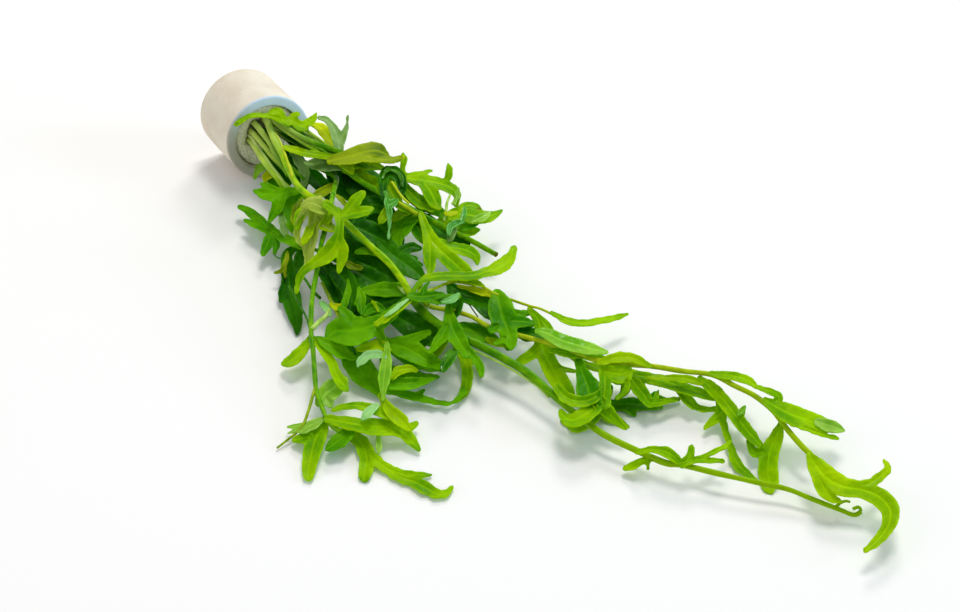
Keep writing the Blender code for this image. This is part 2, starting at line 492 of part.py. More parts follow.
def shoelace(points):
    after = np.roll(points, -1, axis=0)
    return (points[:, 0] * after[:, 1] - after[:, 0] * points[:, 1]).sum() / 2


def outer_loop(points, triangles):
    """The outline of a patch of triangles, as a row of points."""
    onward = {}
    for a, b in border_edges(triangles):
        onward.setdefault(a, []).append(b)
    loops = []
    while onward:
        loop = [next(iter(onward))]
        while loop[-1] in onward:
            here = loop[-1]
            following = onward[here].pop()
            if not onward[here]:
                del onward[here]
            if following in loop:
                start = loop.index(following)
                loops.append(loop[start:])
                loop = loop[:start]
            loop.append(following)
    return max((points[loop] for loop in loops), key=lambda loop: abs(shoelace(loop)))


def thinned(loop, least):
    """The outline without the points that come too soon after the one before."""
    kept = [loop[0]]
    for point in loop[1:]:
        if np.linalg.norm(point - kept[-1]) >= least and np.linalg.norm(point - kept[0]) >= least:
            kept.append(point)
    return np.array(kept)


def flat_leaf(fingers):
    """The union of a leaf's fingers in the photograph's plane: points and triangles."""
    points, faces, veins = [], [], []
    for finger in fingers:
        outline, middle = finger_outline(smooth_route(finger, STATION))
        faces.append(list(range(len(points), len(points) + len(outline))))
        points += outline
        veins += list(middle[1:-1])
    found, triangles = inner_triangles(points, faces, 0.2)
    outline = thinned(outer_loop(found, triangles), MERGE)
    inner = []
    for vein in veins:
        if min(np.linalg.norm(p - vein) for p in list(outline) + inner) > VEIN_CLEAR:
            inner.append(vein)
    points = list(outline) + inner
    return inner_triangles(points, [list(range(len(outline)))], 0.01)


def leaf_heights(pixels, leaf):
    """The blade's height at each pixel, from the heights along its fingers."""
    total = np.zeros(len(pixels))
    weight = np.zeros(len(pixels))
    for finger in leaf["fingers"]:
        samples = smooth_route(finger, 3.0)
        along = np.gradient(samples[:, :2], axis=0)
        along /= np.linalg.norm(along, axis=1)[:, None]
        offset = pixels[:, None, :] - samples[None, :, :2]
        nearest = np.argmin((offset**2).sum(axis=2), axis=1)
        rows = np.arange(len(pixels))
        near = offset[rows, nearest]
        half = np.maximum(samples[nearest, 3] / 2, 1.0)
        reach = np.linalg.norm(near, axis=1)
        side = near[:, 0] * along[nearest, 1] - near[:, 1] * along[nearest, 0]
        edge = np.minimum(reach / half, 1.3)
        height = samples[nearest, 2] + leaf["lean"] * side + leaf["fold"] * edge**2
        closeness = 1.0 / (edge**2 + 0.04) ** 2 / (1.0 + (reach / 12.0) ** 4)
        total += closeness * height
        weight += closeness
    return total / weight


def sheet_normals(points, triangles):
    corners = np.array(triangles)
    first, second, third = (points[corners[:, column]] for column in range(3))
    faces = np.cross(second - first, third - first)
    normals = np.zeros_like(points)
    for column in range(3):
        np.add.at(normals, corners[:, column], faces)
    return normals / np.maximum(np.linalg.norm(normals, axis=1), 1e-9)[:, None]


def padded_sheet(points, triangles, border, reach):
    """A closed shell this far around a sheet, as a tree for finding contacts."""
    normals = sheet_normals(points, triangles)
    count = len(points)
    shell = np.vstack([points + normals * reach, points - normals * reach])
    faces = [tuple(t) for t in triangles] + [tuple(k + count for k in t[::-1]) for t in triangles]
    faces += [(b, a, a + count, b + count) for a, b in border]
    return BVHTree.FromPolygons([Vector(p) for p in shell], faces)


def padded_tube(path, radii, reach, sides=8):
    """A tube this far around a stem, as a tree for finding contacts."""
    along = np.gradient(path, axis=0)
    along /= np.linalg.norm(along, axis=1)[:, None]
    across = np.cross(along, [0.0, 0.0, 1.0])
    across /= np.maximum(np.linalg.norm(across, axis=1), 1e-6)[:, None]
    above = np.cross(across, along)
    points = []
    for k in range(sides):
        turn = 2 * math.pi * k / sides
        outward = across * math.cos(turn) + above * math.sin(turn)
        points.append(path + outward * (radii + reach)[:, None])
    points = np.stack(points, axis=1).reshape(-1, 3)
    faces = []
    for i in range(len(path) - 1):
        for k in range(sides):
            faces.append((i * sides + k, i * sides + (k + 1) % sides, (i + 1) * sides + (k + 1) % sides,
                          (i + 1) * sides + k))
    faces += [tuple(range(sides)), tuple(range(len(points) - sides, len(points)))]
    return BVHTree.FromPolygons([Vector(p) for p in points], faces)


class Placed:
    """The pieces placed so far, each as its box and a padded tree."""

    def __init__(self):
        self.pieces = []

    def add(self, name, points, tree):
        self.pieces.append((name, points.min(axis=0) - 1.5, points.max(axis=0) + 1.5, tree))

    def touched(self, points, tree):
        low, high = points.min(axis=0), points.max(axis=0)
        return [name for name, least, most, other in self.pieces
                if (low <= most).all() and (high >= least).all() and tree.overlap(other)]


def lifts():
    """Lifts of a leaf's base and of the rest of it, in millimetres, the smallest first."""
    bases = [0.0, 0.5, 1.0, 1.5, 2.0, 2.6, 3.2, -0.6, -1.2, -1.8, -2.4, 4.0, 5.0]
    rests = [0.0] + [sign * 0.7 * k for k in range(1, 17) for sign in (1, -1)]
    pairs = [(base, rest) for base in bases for rest in rests]
    return sorted(pairs, key=lambda pair: abs(pair[0]) * 1.6 + abs(pair[1]) + 0.3 * abs(pair[1] - pair[0]))


LIFTS = lifts()


def place_leaf(name, leaf, placed):
    """The blade's points and triangles, lifted no more than it takes to clear what is placed."""
    pixels, triangles = flat_leaf(leaf["fingers"])
    heights = leaf_heights(pixels, leaf)
    base = np.array(leaf["fingers"][0][0][:2], dtype=float)
    away = np.linalg.norm(pixels - base, axis=1)
    ramp = np.clip(away / LIFT_FADE, 0.0, 1.0)
    ramp = ramp * ramp * (3 - 2 * ramp)
    border = border_edges(triangles)
    for base_lift, rest_lift in LIFTS:
        lifted = heights + base_lift + (rest_lift - base_lift) * ramp
        lifted = np.maximum(lifted, LOWEST_SHEET)
        points = photo_points(pixels, lifted)
        tree = padded_sheet(points, triangles, border, BLADE_THICKNESS / 2 + GAP / 2)
        if not placed.touched(points, tree):
            placed.add(name, points, tree)
            return points, triangles
    raise ValueError(f"{name} finds no free place")


def material(name, colour, roughness):
    made = bpy.data.materials.new(name)
    made.use_nodes = True
    shader = made.node_tree.nodes["Principled BSDF"]
    shader.inputs["Base Color"].default_value = colour
    shader.inputs["Roughness"].default_value = roughness
    shader.inputs["Metallic"].default_value = 0.0
    made.diffuse_color = colour
    return made


def add_object(name, data, collection, parent, finish, place=(0.0, 0.0, 0.0)):
    made = bpy.data.objects.new(name, data)
    made.location = Vector(place) * MM
    made.parent = parent
    collection.objects.link(made)
    if finish is not None:
        data.materials.append(finish)
    return made


def screw(made, sides):
    turned = made.modifiers.new("turned", "SCREW")
    turned.axis = "X"
    turned.steps = sides
    turned.render_steps = sides
    turned.use_merge_vertices = True
    turned.merge_threshold = 0.00001
    return turned


def turned_mesh(name, profile):
    """A closed or open profile of (x, radius) in millimetres, as a mesh of edges for a Screw."""
    points = [(x * MM, 0.0, radius * MM) for x, radius in profile]
    mesh = bpy.data.meshes.new(name)
    edges = [(i, i + 1) for i in range(len(points) - 1)]
    mesh.from_pydata(points, edges, [])
    return mesh


def build_ring(collection, parent):
    """The ceramic ring: a thick tube with softened edges, lying on one of its facets."""
    outer, bore, edge = RING_OUTER / 2, RING_BORE / 2, RING_EDGE
    profile = [
        (0.0, bore + edge), (0.0, outer - edge), (-edge, outer), (edge - RING_LENGTH, outer),
        (-RING_LENGTH, outer - edge), (-RING_LENGTH, bore + edge), (edge - RING_LENGTH, bore),
        (-edge, bore), (0.0, bore + edge),
    ]
    mesh = turned_mesh("ceramic_ring", profile)
    axis_height = outer * math.cos(math.pi / RING_SIDES)
    ring = add_object("ceramic_ring", mesh, collection, parent, material("ceramic", CERAMIC, 0.8),
                      (0.0, 0.0, axis_height))
    ring.rotation_euler = (math.pi / RING_SIDES, 0.0, 0.0)
    screw(ring, RING_SIDES)
    return ring


def build_plug(collection, parent, mouths, cutters):
    """The fibre plug, with a socket for every stem that starts in it."""
    radius, edge = PLUG_DIAMETER / 2, PLUG_EDGE
    profile = [
        (PLUG_FACE, 0.0), (PLUG_FACE, radius - edge), (PLUG_FACE - edge, radius),
        (PLUG_BACK + edge, radius), (PLUG_BACK, radius - edge), (PLUG_BACK, 0.0),
    ]
    mesh = turned_mesh("plug", profile)
    axis_height = RING_OUTER / 2 * math.cos(math.pi / RING_SIDES)
    plug = add_object("plug", mesh, collection, parent, material("fibre", FIBRE, 0.95),
                      (0.0, 0.0, axis_height))
    screw(plug, PLUG_SIDES)
    for name, (mouth, stem_radius) in mouths.items():
        depth = STEM_IN_PLUG + SOCKET_GAP + SOCKET_FRONT
        mesh = bpy.data.meshes.new(f"socket_{name}")
        shape = bmesh.new()
        bmesh.ops.create_cone(shape, cap_ends=True, segments=10, radius1=(stem_radius + SOCKET_GAP) * MM,
                              radius2=(stem_radius + SOCKET_GAP) * MM, depth=depth * MM)
        shape.to_mesh(mesh)
        shape.free()
        middle = mouth + np.array([SOCKET_FRONT - depth / 2, 0.0, 0.0])
        socket = add_object(f"socket_{name}", mesh, cutters, parent, None, middle)
        socket.rotation_euler = (0.0, math.pi / 2, 0.0)
        socket.hide_render = True
        socket.display_type = "WIRE"
        cut = plug.modifiers.new(f"socket_{name}", "BOOLEAN")
        cut.operation = "DIFFERENCE"
        cut.solver = "EXACT"
        cut.object = socket
    return plug


def place_holder(placed):
    """Takes the ring's whole cylinder as filled, so that no leaf enters its bore."""
    axis = np.array([[-RING_LENGTH, 0.0, RING_OUTER / 2], [GAP / 2, 0.0, RING_OUTER / 2]])
    radii = np.full(2, RING_OUTER / 2)
    tree = padded_tube(axis, radii, GAP / 2, RING_SIDES)
    reach = np.array([0.0, RING_OUTER / 2, RING_OUTER / 2])
    placed.add("ceramic_ring", axis + np.array([-reach, reach]), tree)


def build_stem(name, stem, collection, parent, finish, placed):
    """A tapered round stem, as a curve with a bevel and filled caps."""
    path = stem_path(stem)
    first, last = stem["size"]
    share = np.linspace(0.0, 1.0, len(path))
    radii = (first + (last - first) * share) / 2
    curve = bpy.data.curves.new(name, "CURVE")
    curve.dimensions = "3D"
    curve.bevel_depth = MM
    curve.bevel_resolution = 1
    curve.use_fill_caps = True
    spline = curve.splines.new("POLY")
    spline.points.add(len(path) - 1)
    origin = path[0]
    for point, place, radius in zip(spline.points, path, radii):
        point.co = (*(Vector(place - origin) * MM), 1.0)
        point.radius = radius
    tree = padded_tube(path, radii, GAP / 2)
    others = placed.touched(path, tree)
    if others:
        raise ValueError(f"{name} meets {others}")
    placed.add(name, path, tree)
    return add_object(name, curve, collection, parent, finish, origin)


def build_leaf(name, leaf, collection, parent, finish, placed):
    """A leaf: its sheet of triangles, made a thin shell."""
    points, triangles = place_leaf(name, leaf, placed)
    origin = points[0]
    mesh = bpy.data.meshes.new(name)
    mesh.from_pydata([tuple((p - origin) * MM) for p in points], [], triangles)
    mesh.shade_smooth()
    made = add_object(name, mesh, collection, parent, finish, origin)
    shell = made.modifiers.new("thickness", "SOLIDIFY")
    shell.thickness = BLADE_THICKNESS * MM
    shell.offset = 0.0
    return made


def centre_origin(frame, parts):
    """Moves the frame so that the origin is under the middle of the whole bunch."""
    bpy.context.view_layer.update()
    graph = bpy.context.evaluated_depsgraph_get()
    corners = []
    for part in parts:
        shown = part.evaluated_get(graph)
        mesh = shown.to_mesh()
        corners += [shown.matrix_world @ v.co for v in mesh.vertices]
        shown.to_mesh_clear()
    corners = np.array(corners)
    low, high = corners.min(axis=0), corners.max(axis=0)
    frame.location = (-(low[0] + high[0]) / 2, -(low[1] + high[1]) / 2, -low[2])


def build():
    empty_scene()
    collection = bpy.data.collections.new("water_sprite")
    cutters = bpy.data.collections.new("water_sprite_cutters")
    bpy.context.scene.collection.children.link(collection)
    bpy.context.scene.collection.children.link(cutters)
    frame = bpy.data.objects.new("water_sprite_frame", None)
    collection.objects.link(frame)
    placed = Placed()
    parts = []
    stem_finish = material("stem", PALE_GREEN, 0.45)
    mouths = {}
    for name, stem in STEMS.items():
        parts.append(build_stem(name, stem, collection, frame, stem_finish, placed))
        if "root" in stem:
            mouths[name] = (photo_point_at_x(stem["root"], PLUG_FACE), stem["size"][0] / 2)
    place_holder(placed)
    leaf_finish = material("leaf", GREEN, 0.4)
    for name, leaf in LEAVES.items():
        parts.append(build_leaf(name, leaf, collection, frame, leaf_finish, placed))
    parts.append(build_ring(collection, frame))
    parts.append(build_plug(collection, frame, mouths, cutters))
    centre_origin(frame, parts)


build()
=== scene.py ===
"""The looks of a bunch of water sprite, its stems held by a fibre plug in a ceramic ring.

Leaves and stems are traced over a photograph of the bunch, as pixels of that photograph.
A leaf lies on the sheet of its frame node, found along the sight line through each of its pixels.
Lengths are in millimetres in the ring's frame until a mesh is made: the ring's front face is at
x = 0, its axis runs along X, and the table is at z = 0.
"""

import math

import bpy
import numpy as np
from mathutils import Matrix, Vector, noise
from mathutils.bvhtree import BVHTree


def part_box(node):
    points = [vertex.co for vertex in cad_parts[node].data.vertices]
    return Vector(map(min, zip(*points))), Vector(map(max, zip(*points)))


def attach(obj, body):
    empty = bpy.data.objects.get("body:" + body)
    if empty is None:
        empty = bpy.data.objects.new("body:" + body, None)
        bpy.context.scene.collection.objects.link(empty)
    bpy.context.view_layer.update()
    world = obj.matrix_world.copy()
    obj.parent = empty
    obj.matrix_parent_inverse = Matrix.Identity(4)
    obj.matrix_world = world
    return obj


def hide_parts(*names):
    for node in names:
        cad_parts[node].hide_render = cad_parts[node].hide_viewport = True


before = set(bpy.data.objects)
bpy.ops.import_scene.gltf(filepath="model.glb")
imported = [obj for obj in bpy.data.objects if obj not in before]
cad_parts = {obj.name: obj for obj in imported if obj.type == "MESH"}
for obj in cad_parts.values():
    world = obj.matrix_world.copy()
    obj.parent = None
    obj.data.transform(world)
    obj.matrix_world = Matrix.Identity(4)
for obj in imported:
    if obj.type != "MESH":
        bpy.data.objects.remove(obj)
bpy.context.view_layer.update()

MM = 0.001

# How the photograph was taken, in the ring's frame
PHOTO_SIZE = (960, 612)
LENS_IN_PIXELS = 1500.0
VIEW_FROM = (466.7, -176.8, 274.1)
VIEW_DOWN = math.radians(33.99)
VIEW_TURN = math.radians(29.71)
SENSOR_WIDTH = 36.0
CLIP = (0.01, 20.0)

# The ring: its bore and rounded edges, how far its surface stays inside the frame's, and its
# swells and grain as (height, fineness)
RING_BORE = 25.0
RING_ROUNDING = 0.9
RING_SLACK = 0.05
RING_WEAR = 0.02
RING_SWELLS = ((0.10, 0.16), (0.035, 0.9))
RING_GRAIN = (0.02, 3.1)
FACE_SHARE = 0.4
LOWEST_RING = 0.02
RING_SIDES = 220
RING_RUNS = (26, 6, 26, 6)
CORNER_POINTS = 5

# The plug: its crumbs as (height, fineness), the crack round the stems with the depths that its painted
# shade spans, and its worn rim
PLUG_DIAMETER = 24.2
PLUG_FACE = -1.2
PLUG_BACK = -24.5
PLUG_SUNK = 0.15
PLUG_CRUMBS = ((0.22, 1.1), (0.2, 2.6), (0.12, 5.5))
PLUG_RIM = 1.2
PLUG_RIM_SLOPE = 0.6
PLUG_SIDES = 150
PLUG_RINGS = 46
CRACK_DEPTH = 2.4
CRACK_SPREAD = 4.0
CRACK_SHADE = (0.8, 0.35)

# Stems: how far they run into the plug and straight out of it, their ridges and their swells as
# (share of the radius, wave)
STEM_IN_PLUG = 4.0
STEM_STUB = 1.6
STEM_STEP = 0.7
STEM_SIDES = 14
STEM_RIPPLES = ((0.06, 13.0),)
RIDGES = 4
RIDGE_HEIGHT = 0.05
TUBE_END = 0.35

# Blades: the frame's thickness and the finished one, and the lowest that a blade may lie
FRAME_BLADE = 0.6
BLADE = 0.26
LOWEST_BLADE = 0.16

# How much a small leaf leans and folds unless it says otherwise
USUAL_LEAN = 0.05
USUAL_FOLD = 0.4

# A blade's halves rise from its vein by this much a pixel, up to a most
FOLD_RISE = 0.06
FOLD_MOST = 0.45
FOLD_CLIP = 1.2

# A blade's vein, swells and ripples. A ripple is (height, wave in pixels): in pixels along the
# edge, and in millimetres elsewhere
VEIN_DEPTH = 0.10
VEIN_REACH = 1.7
SWELL_HEIGHT = 0.025
SWELL_WAVE = 8.0
SWELL_SLANT = 0.9
EDGE_RIPPLES = ((0.36, 11.0), (0.13, 5.0))
RIM_RIPPLES = ((0.26, 13.0),)
BROAD_RIPPLES = ((0.12, 22.0), (0.02, 7.0))
RIPPLE_WAVES = 5

# How a blade is drawn, in pixels of the photograph
LATTICE = 1.25
FINGER_STEP = 1.1
BLEND = 0.7
EDGE_SNAP = 0.32
SLOPE_PROBE = 0.05
TIP_SAMPLES = 4
TIP_REACH = 0.9
TIP_TAPER = 0.85
UV_LENGTH = 100.0

# Rounds of evening out a blade's heights, on a node and of its own
NODE_ROUNDS = 26
TRACED_ROUNDS = 6

# Limits that keep divisions and powers sound
LEAST = 1e-6
LEAST_CLOSENESS = 1e-30
LEAST_HALF = 0.8
LEAST_STEEP = 0.2
LEAST_FACING = 0.4
FAR = 30.0

STEMS = {
    "stem_lower_left": dict(tone="stem_mid", root=(251, 142), size=(2.2, 1.8), route=[
        (265, 163, 14), (277, 178, 12.6), (287, 187, 11.6), (296, 198, 10), (301, 210, 8),
    ]),
    "stem_inner": dict(tone="stem_mid", root=(253, 133), size=(2.2, 1.8), route=[
        (265, 147, 16.6), (273, 157, 15), (281, 165, 13.6), (290, 176, 11.4), (304, 196, 9),
        (320, 212, 7),
    ]),
    "stem_short": dict(root=(256, 125), size=(2.3, 1.7), route=[
        (269, 142, 19.4), (277, 156, 18.6), (283, 165, 17.6), (288, 175, 16.4),
    ]),
    "stem_main": dict(tone="stem_mid", root=(266, 121), size=(2.5, 2.2), route=[
        (273, 137, 21.8), (280, 150, 21), (286, 163, 20.4), (292, 176, 20.2), (298, 186, 20.4),
        (307, 194, 21), (330, 208, 21.6), (360, 236, 21), (375, 250, 20), (388, 262, 19),
        (400, 277, 17), (408, 290, 15.2), (411.5, 296.5, 14.3),
    ]),
    "stem_upper": dict(root=(275, 118), size=(2.2, 1.7), route=[
        (290, 130, 22.6), (305, 139, 22.8), (325, 147, 22.8), (345, 154, 22.4), (366, 166, 21.4),
    ]),
    "stem_upper_low": dict(root=(270, 126), size=(2.1, 1.6), route=[
        (283, 136, 18), (298, 145, 16.8), (312, 152, 15.8), (336, 165, 13.6), (358, 182, 11.5),
        (380, 196, 9.5),
    ]),
    "stem_upper_right": dict(root=(291, 126), size=(2, 1.6), route=[
        (305, 134, 17.8), (322, 145, 17.2), (338, 153, 16.8), (354, 161, 16),
    ]),
    "stem_right": dict(root=(280, 124), size=(2.3, 1.9), route=[
        (300, 138, 20), (320, 151, 19.6), (337, 162, 19.6), (356, 178, 19.8), (375, 190, 19.2),
        (392, 200, 18.4), (409, 208, 17.4), (429, 219, 15.8), (444, 227, 14), (470, 240, 10.6),
        (497, 255, 7.4),
    ]),
    "stem_front": dict(root=(262, 135), size=(2.2, 1.4), route=[
        (283, 150, 13), (306, 163, 11.8), (324, 170, 13), (336, 178, 15.4), (334, 190, 17.4),
        (331, 204, 18.4), (326, 225, 18.2), (320, 250, 17), (317, 270, 15.8), (312, 300, 13),
        (311, 330, 10), (313, 350, 8.6), (316, 389, 6.2), (320, 402, 5.4), (326, 418, 4.6),
    ]),
    "stem_long": dict(size=(2.9, 1.3), route=[
        (414.5, 301.5, 13.6), (430, 318, 12), (463, 338, 10.4), (481, 346, 9.8), (517, 366, 9.2),
        (533, 377, 8.8), (549, 391, 8), (575, 413.5, 6.6), (604, 434.5, 5.6), (640, 452, 5),
        (666, 463, 5), (682, 465, 5.2), (720, 474, 5.4), (755, 482, 5), (787, 489, 4.4),
        (812, 499, 3.6), (838, 509, 2.6), (854, 515, 1.8), (861, 512, 2.6),
    ]),
    "stem_middle": dict(tone="stem_yellow", size=(1.6, 1.7), route=[
        (419.5, 301.5, 12.6), (432, 307, 10.6), (448, 310, 9.6), (470, 316, 9), (490, 327, 8.6),
        (520, 336, 9.4), (545, 342, 10.2), (579, 355, 10.4), (610, 363, 10), (650, 366, 9.6),
        (682, 371, 9.4), (713, 375, 9.4), (735, 386, 9.4), (755, 396, 9.4), (773, 411, 9.2),
        (787, 429, 8.8), (800, 444, 8.2), (810, 454, 7.6),
    ]),
    "stem_thin": dict(tone="stem_yellow", size=(1, 0.8), route=[
        (417, 295, 15.8), (436, 288, 15), (452, 282, 14.2), (470, 284, 13.6), (481, 286, 13.2),
        (496, 294, 12.6), (512, 300, 12), (530, 306, 11.4), (541, 309, 11), (556, 316, 10.2),
    ]),
}

